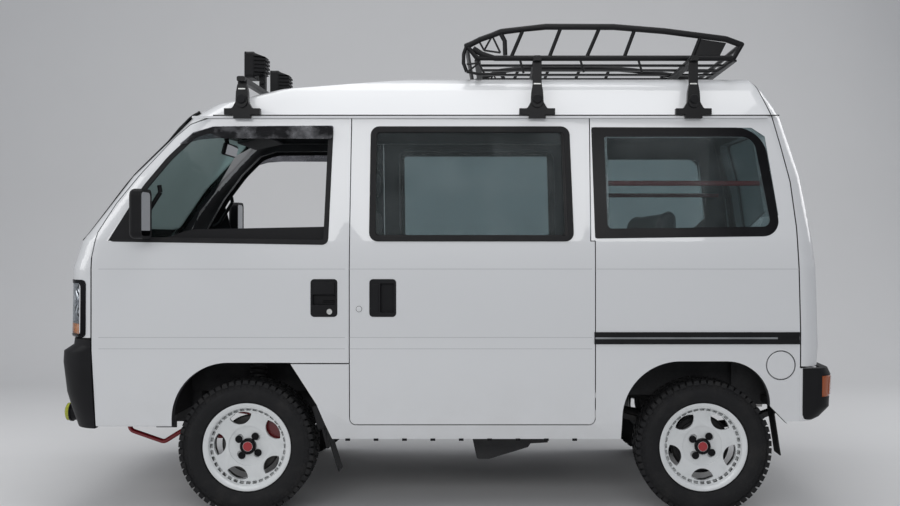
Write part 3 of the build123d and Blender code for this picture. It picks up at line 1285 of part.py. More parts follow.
def dashboard():
    """Dashboard moulding with its binnacle and the steering column."""
    dash = side_prism(front_of(DASH), -DASH_HALF, DASH_HALF)
    ahead, y, z = COLUMN_HUB
    tilt = radians(COLUMN_TILT)
    hub = Vector(FRONT_X + ahead, y, z)
    along = Vector(cos(tilt), 0, -sin(tilt))
    reach = (z - FOOTWELL_Z - COLUMN_R) / sin(tilt)
    start, end = hub + along * COLUMN_GAP, hub + along * reach
    dash += rod(tuple(start), tuple(end), COLUMN_R)
    stay_z = 880.0
    stay_x = hub.X + (z - stay_z) / tan(tilt)
    dash += box(stay_x, FRONT_X + 470.0, y - 30, y + 30, stay_z - 15, stay_z + 15)
    foot = FRONT_X + ahead + reach * cos(tilt)
    dash += box(foot - 60, foot + 45, y - 45, y + 45, FOOTWELL_Z, FOOTWELL_Z + 40)
    hood = side_prism(front_of([(560.0, 1090.0), (540.0, 1125.0), (450.0, 1110.0), (445.0, 1040.0), (540.0, 1000.0)]),
                      y - 150, y + 150)
    return dash + hood


def steering_wheel():
    """Three-spoke steering wheel on the right-hand side."""
    ahead, y, z = COLUMN_HUB
    tilt = radians(COLUMN_TILT)
    axis = Vector(-cos(tilt), 0, sin(tilt))
    plane = Plane(origin=(FRONT_X + ahead, y, z), x_dir=(0, 1, 0), z_dir=axis)
    wheel = Pos(0, 0, WHEEL_DISH) * Torus(WHEEL_RIM_R, WHEEL_TUBE_R)
    wheel += extrude(Circle(WHEEL_BOSS_R), amount=WHEEL_DISH * 0.7)
    for turn in WHEEL_SPOKES:
        angle = radians(turn)
        end = (WHEEL_RIM_R * cos(angle), WHEEL_RIM_R * sin(angle), WHEEL_DISH)
        wheel += rod((0, 0, WHEEL_DISH * 0.35), end, WHEEL_TUBE_R * 0.75)
    return plane * wheel


def cargo_bars():
    """A straight bar along each side of the load space, held on pads at both ends."""
    x0, x1 = REAR_X - 330.0, REAR_X + 443.5
    pieces = []
    for side in (1, -1):
        y = side * CARGO_BAR_Y
        bar = rod((x0, y, CARGO_BAR_Z), (x1, y, CARGO_BAR_Z), CARGO_BAR_R)
        for x in (x0 + 25, x1 - 25):
            wall = HALF_W - between(BODY_SECTIONS, CARGO_BAR_Z + CARGO_BAR_R, 3) - WALL_T - 0.6
            bar += box(x - 15, x + 15, y, side * wall, CARGO_BAR_Z - CARGO_BAR_R, CARGO_BAR_Z + CARGO_BAR_R)
        pieces.append(bar)
    return pieces


# Door mirrors
MIRROR_X = (384.5, 436.5)         # head, ahead of the front axle
MIRROR_Z = (1148.0, 1350.0)
MIRROR_Y = (706.0, 840.0)
SAIL = [(571.5 - 8, 1146.0), (447.5, 1348.0), (398.5, 1144.0)]
SAIL_T = 14.0
SAIL_PROUD = 2.0


def mirror_left():
    """Left door mirror: sail plate in the window's corner, arm and shell."""
    sail_skin = envelope(-SAIL_PROUD) - envelope(SAIL_T)
    inner = offset(side_face(front_of(FRONT_WINDOW)), amount=-0.4)
    sail = sail_skin & side_prism(front_of(SAIL), 0, BIG)
    sail &= Pos(0, -BIG, 0) * extrude(inner, amount=2 * BIG, dir=(0, 1, 0))
    x0, x1 = FRONT_X + MIRROR_X[0], FRONT_X + MIRROR_X[1]
    head = box(x0, x1, *MIRROR_Y, *MIRROR_Z)
    head = fillet(head.edges().filter_by(Axis.X), 28.0)
    front = head.faces().sort_by(Axis.X)[-1]
    head = fillet(front.edges(), 20.0)
    recess = box(x0 - 1, x0 + 5, MIRROR_Y[0] + 10, MIRROR_Y[1] - 10, MIRROR_Z[0] + 10, MIRROR_Z[1] - 10)
    head -= fillet(recess.edges().filter_by(Axis.X), 20.0)
    arm_z = MIRROR_Z[0] + 40.0
    arm = rod((x1 - 22.0, MIRROR_Y[0] + 20, arm_z), (x1 - 12.0, HALF_W - 25.0, arm_z), 15.0)
    return sail + head + arm



def parts():
    """Every node of the van, by name."""
    door, slide, glass = front_door_left(), sliding_door_left(), sliding_glass_left()
    quarter, knuckle, caliper, mirror_shell = quarter_glass_left(), knuckle_left(), caliper_left(), mirror_left()
    front_handle, slide_handle = front_handle_left(), slide_handle_left()
    nodes = {
        **floor_nodes(),
        "side_frame_left": [side_frame(1)],
        "side_frame_right": [side_frame(-1)],
        "front_panel": [front_panel()],
        "rear_panel": [rear_panel()],
        "roof_panel": [roof_panel()],
        "drip_rails": both_sides(drip_rail()),
        "windscreen": [windscreen()],
        "side_glass": both_sides(glass) + both_sides(quarter),
        "sliding_doors": both_sides(slide),
        "slide_rails": slide_rails(),
        "slide_handles": both_sides(slide_handle),
        "door_handle_left": [front_handle],
        "door_handle_right": [mirrored(front_handle)],
        "front_door_left": [door],
        "front_door_right": [mirrored(door)],
        "mirror_left": [mirror_shell],
        "mirror_right": [mirrored(mirror_shell)],
        "tailgate": [tailgate()],
        "tailgate_glass": [tailgate_glass()],
        "fuel_lid": [fuel_lid()],
        "front_bumper": [front_bumper()],
        "rear_bumper": [rear_bumper()],
        "headlamps": [headlamps()],
        "fog_lamps": fog_lamps(),
        "rear_lamps": [rear_lamps()],
        "roof_bars": roof_bars(),
        "roof_basket": [roof_basket()],
        "driving_lamps": driving_lamps(),
        "front_seats": front_seats(),
        "rear_seat": [rear_seat()],
        "dashboard": [dashboard()],
        "steering_wheel": [steering_wheel()],
        "cargo_bars": cargo_bars(),
        "mud_flaps": mud_flaps(),
        "engine_block": [engine_block()],
        "exhaust": [exhaust()],
        "fuel_tank": [fuel_tank()],
        "front_suspension": front_suspension(),
        "front_brace": brace(),
        "rear_axle": [rear_axle()],
        "leaf_springs": leaf_springs(),
        "knuckle_left": [knuckle],
        "knuckle_right": [mirrored(knuckle)],
        "caliper_left": [caliper],
        "caliper_right": [mirrored(caliper)],
    }
    for name in WHEELS:
        nodes["tyre_" + name] = [tyre(name)]
        nodes["rim_" + name] = [rim(name)]
    for name in ("front_left", "front_right"):
        nodes["brake_disc_" + name] = [brake_disc(name)]
    return nodes


def write():
    """One STEP file for each node."""
    os.makedirs("parts", exist_ok=True)
    for name, pieces in parts().items():
        shape = pieces[0] if len(pieces) == 1 else Compound(children=pieces)
        export_step(shape, f"parts/{name}.step")


write()
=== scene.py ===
import json
from math import cos, pi, radians, sin

import bmesh
import bpy
from mathutils import Matrix, Vector
from mathutils.bvhtree import BVHTree


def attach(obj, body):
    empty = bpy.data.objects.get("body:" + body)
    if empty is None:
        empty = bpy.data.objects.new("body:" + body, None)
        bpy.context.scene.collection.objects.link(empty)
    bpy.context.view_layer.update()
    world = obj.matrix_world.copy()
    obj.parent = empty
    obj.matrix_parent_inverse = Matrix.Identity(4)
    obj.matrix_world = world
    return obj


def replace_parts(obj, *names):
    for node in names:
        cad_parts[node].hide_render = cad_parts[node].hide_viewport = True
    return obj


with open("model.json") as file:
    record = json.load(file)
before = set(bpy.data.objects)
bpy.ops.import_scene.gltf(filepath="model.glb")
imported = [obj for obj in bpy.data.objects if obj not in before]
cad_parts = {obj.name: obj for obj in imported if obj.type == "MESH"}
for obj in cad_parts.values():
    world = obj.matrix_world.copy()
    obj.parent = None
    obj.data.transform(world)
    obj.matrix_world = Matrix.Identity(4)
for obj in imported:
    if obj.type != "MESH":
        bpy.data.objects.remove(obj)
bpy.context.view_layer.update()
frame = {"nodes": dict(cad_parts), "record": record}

scene = bpy.context.scene
nodes = frame["nodes"]
bodyOf = {node: body for body, members in frame["record"]["behaviour"]["bodies"].items() for node in members}
slotOf = {part["node"]: part["material_slot"] for part in frame["record"]["subparts"]}

van = {                           # metres, in the frame of the van
    "halfWidth": 0.6975,
    "frontAxleX": 0.8065,
    "rearAxleX": -1.0935,
    "axleZ": 0.281,
    "wheelY": 0.610,
}
fx, rx = van["frontAxleX"], van["rearAxleX"]


# A socket that grows its own maths nodes when Python's operators meet it.
class Wire:
    def __init__(self, recipe, socket):
        self.recipe = recipe
        self.socket = socket

    def math(self, operation, *values):
        return self.recipe.math(operation, *values)

    def __add__(self, other):
        return self.math("ADD", self, other)

    def __sub__(self, other):
        return self.math("SUBTRACT", self, other)

    def __rsub__(self, other):
        return self.math("SUBTRACT", other, self)

    def __mul__(self, other):
        return self.math("MULTIPLY", self, other)

    def __lt__(self, other):
        return self.math("LESS_THAN", self, other)

    def __abs__(self):
        return self.math("ABSOLUTE", self)

    __radd__ = __add__
    __rmul__ = __mul__


# One material: its nodes come from add, its shader's sockets from set.
class Recipe:
    def __init__(self, name):
        self.material = bpy.data.materials.new(name)
        self.material.use_nodes = True
        self.tree = self.material.node_tree
        self.shader = self.tree.nodes["Principled BSDF"]

    def plug(self, socket, value):
        if isinstance(value, Wire):
            self.tree.links.new(value.socket, socket)
        elif hasattr(value, "__len__") and len(value) == 3 and socket.type == "RGBA":
            socket.default_value = (*value, 1.0)
        else:
            socket.default_value = value

    def add(self, kind, settings=None, values=(), output=0):
        node = self.tree.nodes.new(kind)
        for key, value in (settings or {}).items():
            if key == "stops":
                ramp = node.color_ramp.elements
                while len(ramp) < len(value):
                    ramp.new(0.5)
                for element, (place, colour) in zip(ramp, value):
                    element.position = place
                    element.color = (*colour, 1.0)
            else:
                setattr(node, key, value)
        pairs = values.items() if isinstance(values, dict) else enumerate(values)
        for key, value in pairs:
            self.plug(node.inputs[key], value)
        return Wire(self, node.outputs[output])

    def set(self, **sockets):
        for key, value in sockets.items():
            name = "".join(" " + c if c.isupper() else c for c in key).strip()
            self.plug(self.shader.inputs[name.replace("I O R", "IOR")], value)
        return self

    def math(self, operation, *values):
        return self.add("ShaderNodeMath", {"operation": operation}, values)

    def place(self):
        return self.add("ShaderNodeTexCoord", output="Object")

    def axis(self, index):
        return self.add("ShaderNodeSeparateXYZ", values=[self.place()], output=index)

    def noise(self, scale, detail=2.0, roughness=0.5, stretch=None):
        where = self.place()
        if stretch:
            where = self.add("ShaderNodeMapping", values={"Vector": where, "Scale": stretch})
        return self.add("ShaderNodeTexNoise", values={"Vector": where, "Scale": scale, "Detail": detail,
                                                      "Roughness": roughness})

    def cells(self, scale, feature="F1"):
        return self.add("ShaderNodeTexVoronoi", {"feature": feature},
                        {"Vector": self.place(), "Scale": scale})

    def spread(self, value, low, high, toLow=0.0, toHigh=1.0):
        return self.add("ShaderNodeMapRange", values=[value, low, high, toLow, toHigh])

    def tint(self, factor, first, second):
        return self.add("ShaderNodeMix", {"data_type": "RGBA"}, {0: factor, 6: first, 7: second}, 2)

    def bump(self, height, strength, distance, normal=None):
        values = {"Height": height, "Strength": strength, "Distance": distance}
        if normal:
            values["Normal"] = normal
        return self.add("ShaderNodeBump", values=values)


finishes = {}


# Turns a slot's name into a material's own: black_plastic becomes BlackPlastic and an ending.
def titled(name, ending=""):
    return name.replace("_", " ").title().replace(" ", "") + ending


# Keeps a recipe's material under the name of the record's slot, or its own name.
def keep(name, recipe):
    finishes[name] = recipe.material
    return recipe


paintLook = {"colour": (0.80, 0.81, 0.82), "shade": (0.77, 0.78, 0.79), "peel": 260.0, "coat": 1.0}


def makeBodyPaint():
    paint = keep("body_paint", Recipe("bodyPaint"))
    cloud = paint.noise(1.6, 2.0)
    peel = paint.noise(paintLook["peel"], 1.0)
    film = paint.spread(paint.axis(2), 0.30, 0.62, 1.0, 0.0)      # road film low on the sides
    film = film * paint.spread(paint.noise(9.0, 4.0), 0.35, 0.75)
    colour = paint.tint(cloud, paintLook["shade"], paintLook["colour"])
    colour = paint.tint(film * 0.22, colour, (0.60, 0.59, 0.57))
    paint.set(BaseColor=colour, Roughness=film * 0.16 + 0.30, Normal=paint.bump(peel, 0.05, 0.0004))
    paint.set(CoatWeight=paintLook["coat"], CoatRoughness=0.03, SpecularIORLevel=0.5)


def makeInnerMetal():
    metal = keep("inner_metal", Recipe("innerMetal"))
    cloud = metal.noise(7.0, 4.0)
    low = metal.spread(metal.axis(2), 0.36, 0.50, 1.0, 0.0)       # dark wax under the floor
    colour = metal.tint(cloud, (0.42, 0.43, 0.44), (0.50, 0.51, 0.52))
    colour = metal.tint(low, colour, (0.030, 0.030, 0.031))
    metal.set(BaseColor=colour, Roughness=metal.spread(cloud, 0.3, 0.7, 0.42, 0.62))
    metal.set(Normal=metal.bump(metal.noise(90.0, 3.0), 0.12, 0.001))


# Grained mouldings: bumpers, mirror housings, handles and trims.
def makeGrained(name, colour, grain, rough, depth, gleam=0.5):
    plastic = keep(name, Recipe(titled(name, "Grain")))
    skin = plastic.cells(grain)
    haze = plastic.noise(5.0, 4.0)
    pale = tuple(c * 1.6 + 0.002 for c in colour)
    plastic.set(BaseColor=plastic.tint(plastic.spread(haze, 0.42, 0.72), colour, pale))
    plastic.set(Roughness=plastic.spread(haze, 0.3, 0.7, rough - 0.05, rough + 0.07))
    plastic.set(Normal=plastic.bump(skin, 0.30, depth), SpecularIORLevel=gleam)


def makeRackBlack():
    rack = keep("rack_black", Recipe("rackBlack"))
    fine = rack.noise(520.0, 2.0)
    rack.set(BaseColor=rack.tint(rack.noise(11.0, 3.0), (0.004, 0.004, 0.005), (0.009, 0.009, 0.010)))
    rack.set(Roughness=rack.spread(fine, 0.3, 0.7, 0.34, 0.46), Normal=rack.bump(fine, 0.12, 0.0004))
    rack.set(CoatWeight=0.06, CoatRoughness=0.25, SpecularIORLevel=0.22)


# Window glass lets tinted light through and mirrors more at a glancing view. Its haze is dust on the panes;
# on the smoked visor the large haze is mostly a painted sheen.
def makeGlass(name, tint, haze):
    glass = keep(name, Recipe(titled(name, "Pane")))
    dust = glass.spread(glass.noise(6.0, 5.0, 0.6), 0.45, 0.85, 0.0, haze)
    glass.set(BaseColor=tint, Roughness=0.02, Metallic=0.0, SpecularIORLevel=0.5, IOR=1.5)
    clear = glass.add("ShaderNodeBsdfTransparent", values=[tint])
    shine = glass.add("ShaderNodeLayerWeight", values={"Blend": 0.12}, output=0)
    mixed = glass.add("ShaderNodeMixShader", values=[shine * 0.9 + dust + 0.03, clear,
                                                   Wire(glass, glass.shader.outputs[0])])
    glass.tree.links.new(mixed.socket, glass.tree.nodes["Material Output"].inputs["Surface"])


tyreLook = {"rubber": (0.011, 0.011, 0.012), "dust": (0.036, 0.034, 0.032)}


def makeTyreRubber():
    tyre = keep("tyre", Recipe("tyreRubber"))
    dust = tyre.spread(tyre.noise(14.0, 5.0, 0.62), 0.50, 0.80)
    fine = tyre.noise(380.0, 3.0)
    tyre.set(BaseColor=tyre.tint(dust * 0.55, tyreLook["rubber"], tyreLook["dust"]))
    tyre.set(Roughness=tyre.spread(fine, 0.3, 0.7, 0.66, 0.84), Normal=tyre.bump(fine, 0.15, 0.0006))
    tyre.set(SpecularIORLevel=0.3)


def makeWheelPaint():
    wheel = keep("wheel_white", Recipe("wheelPaint"))
    soot = wheel.spread(wheel.noise(22.0, 4.0), 0.52, 0.85)
    shade = abs(wheel.axis(1)) < van["wheelY"] + 0.0130          # painted shade: the barrel behind the star is painted near black, as it lies in shadow
    colour = wheel.tint(soot * 0.20, (0.80, 0.82, 0.82), (0.42, 0.42, 0.41))
    wheel.set(BaseColor=wheel.tint(shade, colour, (0.020, 0.020, 0.022)))
    wheel.set(Roughness=soot * 0.25 + 0.30, CoatWeight=0.6, CoatRoughness=0.08)
    wheel.set(Normal=wheel.bump(wheel.noise(240.0, 1.0), 0.05, 0.0004))


def makeSteel():
    steel = keep("steel", Recipe("turnedSteel"))
    brushed = steel.noise(40.0, 3.0, stretch=(1.0, 30.0, 1.0))
    heat = steel.noise(8.0, 3.0)
    steel.set(BaseColor=steel.tint(heat, (0.36, 0.35, 0.34), (0.52, 0.51, 0.50)), Metallic=1.0)
    steel.set(Roughness=steel.spread(brushed, 0.3, 0.7, 0.28, 0.46), Normal=steel.bump(brushed, 0.08, 0.0005))


def makeCast():
    cast = keep("cast", Recipe("chassisBlack"))
    sand = cast.noise(160.0, 4.0, 0.6)
    dust = cast.spread(cast.noise(10.0, 5.0), 0.45, 0.75)
    cast.set(BaseColor=cast.tint(dust * 0.6, (0.022, 0.022, 0.023), (0.085, 0.080, 0.074)))
    cast.set(Roughness=cast.spread(sand, 0.3, 0.7, 0.52, 0.72), Normal=cast.bump(sand, 0.35, 0.0012))


def makeRedPaint(name, colour):
    red = keep(name, Recipe(titled(name)))
    chip = red.spread(red.noise(60.0, 4.0, 0.7), 0.66, 0.70)
    red.set(BaseColor=red.tint(chip, colour, (0.08, 0.015, 0.015)), Roughness=chip * 0.3 + 0.32)
    red.set(CoatWeight=0.5, CoatRoughness=0.1, Normal=red.bump(red.noise(200.0), 0.06, 0.0004))


# Moulded lens plastic: flutes across it scatter what is behind.
def makeLens(name, colour, flutes, through):
    lens = keep(name, Recipe(titled(name, "Lens")))
    wave = lens.add("ShaderNodeTexWave", {"bands_direction": "Y"}, {"Vector": lens.place(), "Scale": flutes})
    lens.set(BaseColor=colour, Roughness=lens.spread(lens.noise(30.0, 3.0), 0.3, 0.7, 0.06, 0.12))
    lens.set(TransmissionWeight=through, IOR=1.45, Normal=lens.bump(wave, 0.25, 0.0012), CoatWeight=0.4)


clothLook = {"dark": (0.055, 0.057, 0.062), "light": (0.13, 0.135, 0.145), "threads": 420.0}


def makeSeatCloth():
    cloth = keep("seat_cloth", Recipe("seatCloth"))
    across = cloth.add("ShaderNodeTexWave", {"bands_direction": "Y"},
                       {"Vector": cloth.place(), "Scale": clothLook["threads"], "Distortion": 0.6})
    along = cloth.add("ShaderNodeTexWave", {"bands_direction": "DIAGONAL"},
                      {"Vector": cloth.place(), "Scale": clothLook["threads"], "Distortion": 0.6})
    weave = across * along
    worn = cloth.noise(12.0, 4.0)
    colour = cloth.tint(weave * 0.6 + worn * 0.4, clothLook["dark"], clothLook["light"])
    cloth.set(BaseColor=colour, Roughness=0.9, SheenWeight=0.35, SheenRoughness=0.5)
    cloth.set(Normal=cloth.bump(weave, 0.4, 0.0008))


def makeRubber():
    rubber = keep("rubber", Recipe("blackRubber"))
    fine = rubber.noise(200.0, 3.0)
    dust = rubber.spread(rubber.noise(9.0, 4.0), 0.5, 0.8)
    rubber.set(BaseColor=rubber.tint(dust * 0.5, (0.008, 0.008, 0.009), (0.022, 0.021, 0.020)))
    rubber.set(Roughness=rubber.spread(fine, 0.3, 0.7, 0.52, 0.68), Normal=rubber.bump(fine, 0.1, 0.0005))
    rubber.set(SpecularIORLevel=0.3)


def makeMirrorGlass():
    mirror = keep("mirrorGlass", Recipe("mirrorGlass"))
    smear = mirror.noise(14.0, 4.0)
    mirror.set(BaseColor=(0.30, 0.31, 0.33), Metallic=1.0,
               Roughness=mirror.spread(smear, 0.4, 0.8, 0.02, 0.07))


def makeReflector():
    bowl = keep("reflector", Recipe("lampReflector"))
    facets = bowl.add("ShaderNodeTexWave", {"bands_direction": "Y"}, {"Vector": bowl.place(), "Scale": 24.0})
    bowl.set(BaseColor=(0.80, 0.81, 0.82), Metallic=1.0, Roughness=bowl.spread(facets, 0, 1, 0.10, 0.2))
    bowl.set(Normal=bowl.bump(facets, 0.35, 0.003))


def makeUnderseal():
    seal = keep("underseal", Recipe("underseal"))
    blobs = seal.noise(130.0, 5.0, 0.65)
    dust = seal.spread(seal.noise(8.0, 5.0), 0.45, 0.75)
    seal.set(BaseColor=seal.tint(dust * 0.7, (0.020, 0.020, 0.022), (0.060, 0.060, 0.062)))
    seal.set(Roughness=seal.spread(blobs, 0.3, 0.7, 0.55, 0.78), Normal=seal.bump(blobs, 0.5, 0.0018))


def makeCarpet():
    carpet = keep("carpet", Recipe("loopCarpet"))
    loops = carpet.cells(360.0)
    worn = carpet.noise(6.0, 4.0)
    carpet.set(BaseColor=carpet.tint(loops * 0.6 + worn * 0.4, (0.016, 0.016, 0.018), (0.060, 0.060, 0.064)))
    carpet.set(Roughness=carpet.spread(loops, 0.0, 0.6, 0.85, 1.0), Normal=carpet.bump(loops, 0.7, 0.0025))


def makeHeadlining():
    lining = keep("headlining", Recipe("headlining"))
    dots = lining.cells(150.0)
    lining.set(BaseColor=lining.tint(lining.noise(5.0, 3.0), (0.085, 0.086, 0.090), (0.125, 0.126, 0.130)))
    lining.set(Roughness=lining.spread(dots, 0.0, 0.6, 0.80, 0.92), Normal=lining.bump(dots, 0.4, 0.0010))


# Painted shade: the brake discs' steel is made far darker than bare steel, for the shadow behind the wheel.
def makeShadedDiscSteel():
    disc = keep("shadedDiscSteel", Recipe("shadedDiscSteel"))
    fine = disc.noise(70.0, 4.0)
    disc.set(BaseColor=disc.tint(fine, (0.050, 0.048, 0.047), (0.115, 0.112, 0.110)), Metallic=0.8)
    disc.set(Roughness=disc.spread(fine, 0.3, 0.7, 0.42, 0.60), Normal=disc.bump(fine, 0.15, 0.0005))


# Painted shade for the pressed lines in the sides: a grey a little darker than the paint.
def makeSeamShade():
    seam = keep("seamShade", Recipe("seamShade"))
    cloud = seam.noise(3.0, 2.0)
    seam.set(BaseColor=seam.tint(cloud, (0.50, 0.51, 0.52), (0.58, 0.59, 0.60)), Roughness=0.45,
             CoatWeight=0.4)


def makeZinc():
    zinc = keep("zinc", Recipe("zincClip"))
    zinc.set(BaseColor=(0.62, 0.62, 0.60), Metallic=1.0,
             Roughness=zinc.spread(zinc.noise(60.0), 0.3, 0.7, 0.3, 0.5))


makeBodyPaint()
makeInnerMetal()
makeGrained("black_plastic", (0.0050, 0.0050, 0.0060), 620.0, 0.50, 0.0007, 0.22)
makeGrained("trim", (0.060, 0.061, 0.065), 480.0, 0.62, 0.0006)
makeGrained("glossBlack", (0.0045, 0.0045, 0.0055), 900.0, 0.18, 0.0001, 0.12)
makeGrained("greyTrim", (0.22, 0.23, 0.24), 500.0, 0.6, 0.0006)
makeRackBlack()
makeGlass("glass", (0.63, 0.69, 0.70), 0.05)
makeGlass("screenGlass", (0.71, 0.78, 0.775), 0.04)
# the smoked visor's large haze paints a pale sheen on it, for its glossy highlight, as well as dust
makeGlass("smokedVisor", (0.46, 0.46, 0.48), 0.85)
makeGlass("clearCover", (0.86, 0.88, 0.90), 0.06)
makeTyreRubber()
makeWheelPaint()
makeSteel()
makeCast()
makeRedPaint("red_paint", (0.36, 0.010, 0.016))
# painted shade: the calipers' red is a darker copy of the red paint, for the shadow they sit in behind the
# wheel
makeRedPaint("caliperRed", (0.15, 0.006, 0.009))
makeLens("lamp_clear", (0.92, 0.94, 0.95), 34.0, 0.95)
makeLens("lamp_yellow", (0.82, 0.86, 0.10), 30.0, 0.55)
makeLens("lamp_rear", (0.85, 0.20, 0.02), 30.0, 0.35)
makeLens("amberLens", (0.88, 0.27, 0.02), 30.0, 0.35)
makeLens("rearAmber", (0.42, 0.085, 0.010), 60.0, 0.12)
makeLens("redLens", (0.62, 0.02, 0.02), 30.0, 0.35)
makeSeatCloth()
makeRubber()
makeMirrorGlass()
makeReflector()
makeUnderseal()
makeCarpet()
makeHeadlining()
makeShadedDiscSteel()
makeSeamShade()
makeZinc()
print("materials ready:", len(finishes))


# Puts a finished bmesh into the scene, riding on a body of the van.
def addPiece(name, bm, body, slot, finish=None, sharp=35.0, even=True):
    mesh = bpy.data.meshes.new(name)
    bm.to_mesh(mesh)
    bm.free()
    piece = bpy.data.objects.new(name, mesh)
    scene.collection.objects.link(piece)
    mesh.materials.append(finishes[finish or slot])
    mesh.shade_smooth()
    mesh.set_sharp_from_angle(angle=radians(sharp))
    if even:
        normals = piece.modifiers.new("evenNormals", "WEIGHTED_NORMAL")
        normals.keep_sharp = True
    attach(piece, body)
    return piece


def mirrorToRight(bm):
    bmesh.ops.scale(bm, verts=bm.verts, vec=(1.0, -1.0, 1.0))
    bmesh.ops.reverse_faces(bm, faces=bm.faces)


# Adds a piece that was made on the left, turned over where its side is the right one.
def addSide(name, bm, side, body, slot, finish=None):
    if side < 0:
        mirrorToRight(bm)
    where = body if isinstance(body, str) else body[side]
    return addPiece(name + ("Left" if side > 0 else "Right"), bm, where, slot, finish)


def roundOff(bm, geom, width, segments=2, affect="EDGES"):
    return bmesh.ops.bevel(bm, geom=geom, offset=width, offset_type="OFFSET", segments=segments, profile=0.5,
                           affect=affect, clamp_overlap=True, material=-1)


def softenEdges(bm, width, sharp=30.0, segments=2):
    edges = [edge for edge in bm.edges if edge.is_manifold and edge.calc_face_angle(0.0) > radians(sharp)]
    roundOff(bm, edges, width, segments)


# Pours one bmesh into another.
def pourInto(bm, part):
    mesh = bpy.data.meshes.new("part")
    part.to_mesh(mesh)
    part.free()
    bm.from_mesh(mesh)
    bpy.data.meshes.remove(mesh)


# A merged copy of a CAD node with its edges rounded, standing in for it.
def dress(node, width=0.0015, finish=None, sharp=30.0, segments=2, lining=None, lined=None):
    bm = bmesh.new()
    bm.from_mesh(nodes[node].data)
    bmesh.ops.remove_doubles(bm, verts=bm.verts, dist=1e-5)
    bmesh.ops.dissolve_limit(bm, angle_limit=radians(0.5), verts=bm.verts, edges=bm.edges)
    if width:
        softenEdges(bm, width, sharp, segments)
    piece = addPiece(node + "Skin", bm, bodyOf[node], slotOf[node], finish)
    if lining:
        piece.data.materials.append(finishes[lining])
        for polygon in piece.data.polygons:
            polygon.material_index = int(lined(polygon.center, polygon.normal))
    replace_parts(piece, node)
    return piece


sideTuck = [                       # z, how far the side stands in from the half width
    (0.316, 0.0225), (0.380, 0.0075), (0.700, 0.0), (1.026, 0.0), (1.137, 0.0075),
    (1.413, 0.0415), (1.664, 0.0755), (1.726, 0.1145),
]
noseReach = [                      # z, nose ahead of the front axle
    (0.700, 0.8055), (1.026, 0.7995), (1.137, 0.7645), (1.413, 0.5645), (1.664, 0.3205), (1.726, 0.2275),
]
tailReach = [                      # z, tail behind the rear axle
    (0.380, 0.480), (0.700, 0.5015), (1.026, 0.4915), (1.137, 0.4795), (1.413, 0.4365), (1.664, 0.3625),
    (1.726, 0.3365), (1.794, 0.3015),
]


def along(table, z):
    for (z0, v0), (z1, v1) in zip(table, table[1:]):
        if z <= z1:
            return v0 + (v1 - v0) * (z - z0) / (z1 - z0)
    return table[-1][1]


def sideY(z):
    return van["halfWidth"] - along(sideTuck, z)


def noseX(y, z):
    return fx + along(noseReach, z) - 0.045 * (y / 0.5675) ** 2


def tailX(y, z):
    return rx - along(tailReach, z) + 0.012 * (y / 0.6175) ** 2


# A flat face through (x, z) points at y = 0, its corners rounded.
def flatFace(bm, points, radius=0.0, segments=5):
    corners = [bm.verts.new((x, 0.0, z)) for x, z in points]
    face = bm.faces.new(corners)
    if isinstance(radius, dict):                              # its own radius for each corner
        for index, own in radius.items():
            roundOff(bm, [corners[index]], own, 8, "VERTICES")
    elif radius:
        roundOff(bm, corners, radius, segments, "VERTICES")
    return max(bm.faces, key=lambda f: f.calc_area()) if radius else face


def thicken(bm, depth):
    grown = bmesh.ops.extrude_face_region(bm, geom=list(bm.faces))
    tops = [item for item in grown["geom"] if isinstance(item, bmesh.types.BMVert)]
    bmesh.ops.translate(bm, verts=tops, vec=(0.0, depth, 0.0))
    bmesh.ops.recalc_face_normals(bm, faces=bm.faces)


# Leans a flat piece onto the van's side: its y is how far it stands off the skin.
def leanOnSide(bm, offset):
    for level in (1.026, 1.137, 1.413, 1.664):
        bmesh.ops.bisect_plane(bm, geom=[*bm.verts, *bm.edges, *bm.faces], plane_co=(0, 0, level),
                               plane_no=(0, 0, 1))
    for vert in bm.verts:
        vert.co.y += sideY(vert.co.z) + offset


def skinOf(*names):
    bm = bmesh.new()
    for name in names:
        bm.from_mesh(nodes[name].data)
    tree = BVHTree.FromBMesh(bm)
    bm.free()
    return tree


def cutEvery(bm, step, axis):
    values = [vert.co[axis] for vert in bm.verts]
    normal = Vector((0.0, 0.0, 0.0))
    normal[axis] = 1.0
    for index in range(int(min(values) / step), int(max(values) / step) + 1):
        bmesh.ops.bisect_plane(bm, geom=[*bm.verts, *bm.edges, *bm.faces], plane_co=normal * step * index,
                               plane_no=normal)


# Drops a piece along an axis onto a skin: its own coordinate there is its height above the skin.
def layOn(bm, skin, axis, sign):
    middle = sum((vert.co for vert in bm.verts), Vector()) / len(bm.verts)
    ray = Vector((0.0, 0.0, 0.0))
    ray[axis] = -sign
    for vert in bm.verts:
        for share in (1.0, 0.98, 0.96, 0.94, 0.92, 0.90):     # a point past the skin's edge looks further in
            start = middle.lerp(vert.co, share)
            start[axis] = 3.0 * sign
            hit = skin.ray_cast(start, ray)[0]
            if hit:
                vert.co[axis] = hit[axis] + sign * vert.co[axis]
                break
        else:
            print("no skin under", vert.co)


# Wraps a flat piece round the nose's left corner: x is metres along it, y height, z height above ground.
def layRound(bm, skin, centre, reach):
    for vert in bm.verts:
        turn = vert.co.x / reach
        out = Vector((cos(turn), sin(turn), 0.0))
        start = Vector((centre[0], centre[1], vert.co.z)) + out * 2.0
        hit = skin.ray_cast(start, -out)[0]
        if hit:
            vert.co = hit + out * vert.co.y


# A ring between two outlines in side view, the corners of each rounded.
def ringFace(bm, outer, inner, outerRadius, innerRadius):
    for points, radius in ((outer, outerRadius), (inner, innerRadius)):
        loop = bmesh.new()
        face = flatFace(loop, points, radius)
        bmesh.ops.delete(loop, geom=[face], context="FACES_ONLY")
        pourInto(bm, loop)
    bmesh.ops.triangle_fill(bm, use_beauty=True, use_dissolve=False, edges=bm.edges)


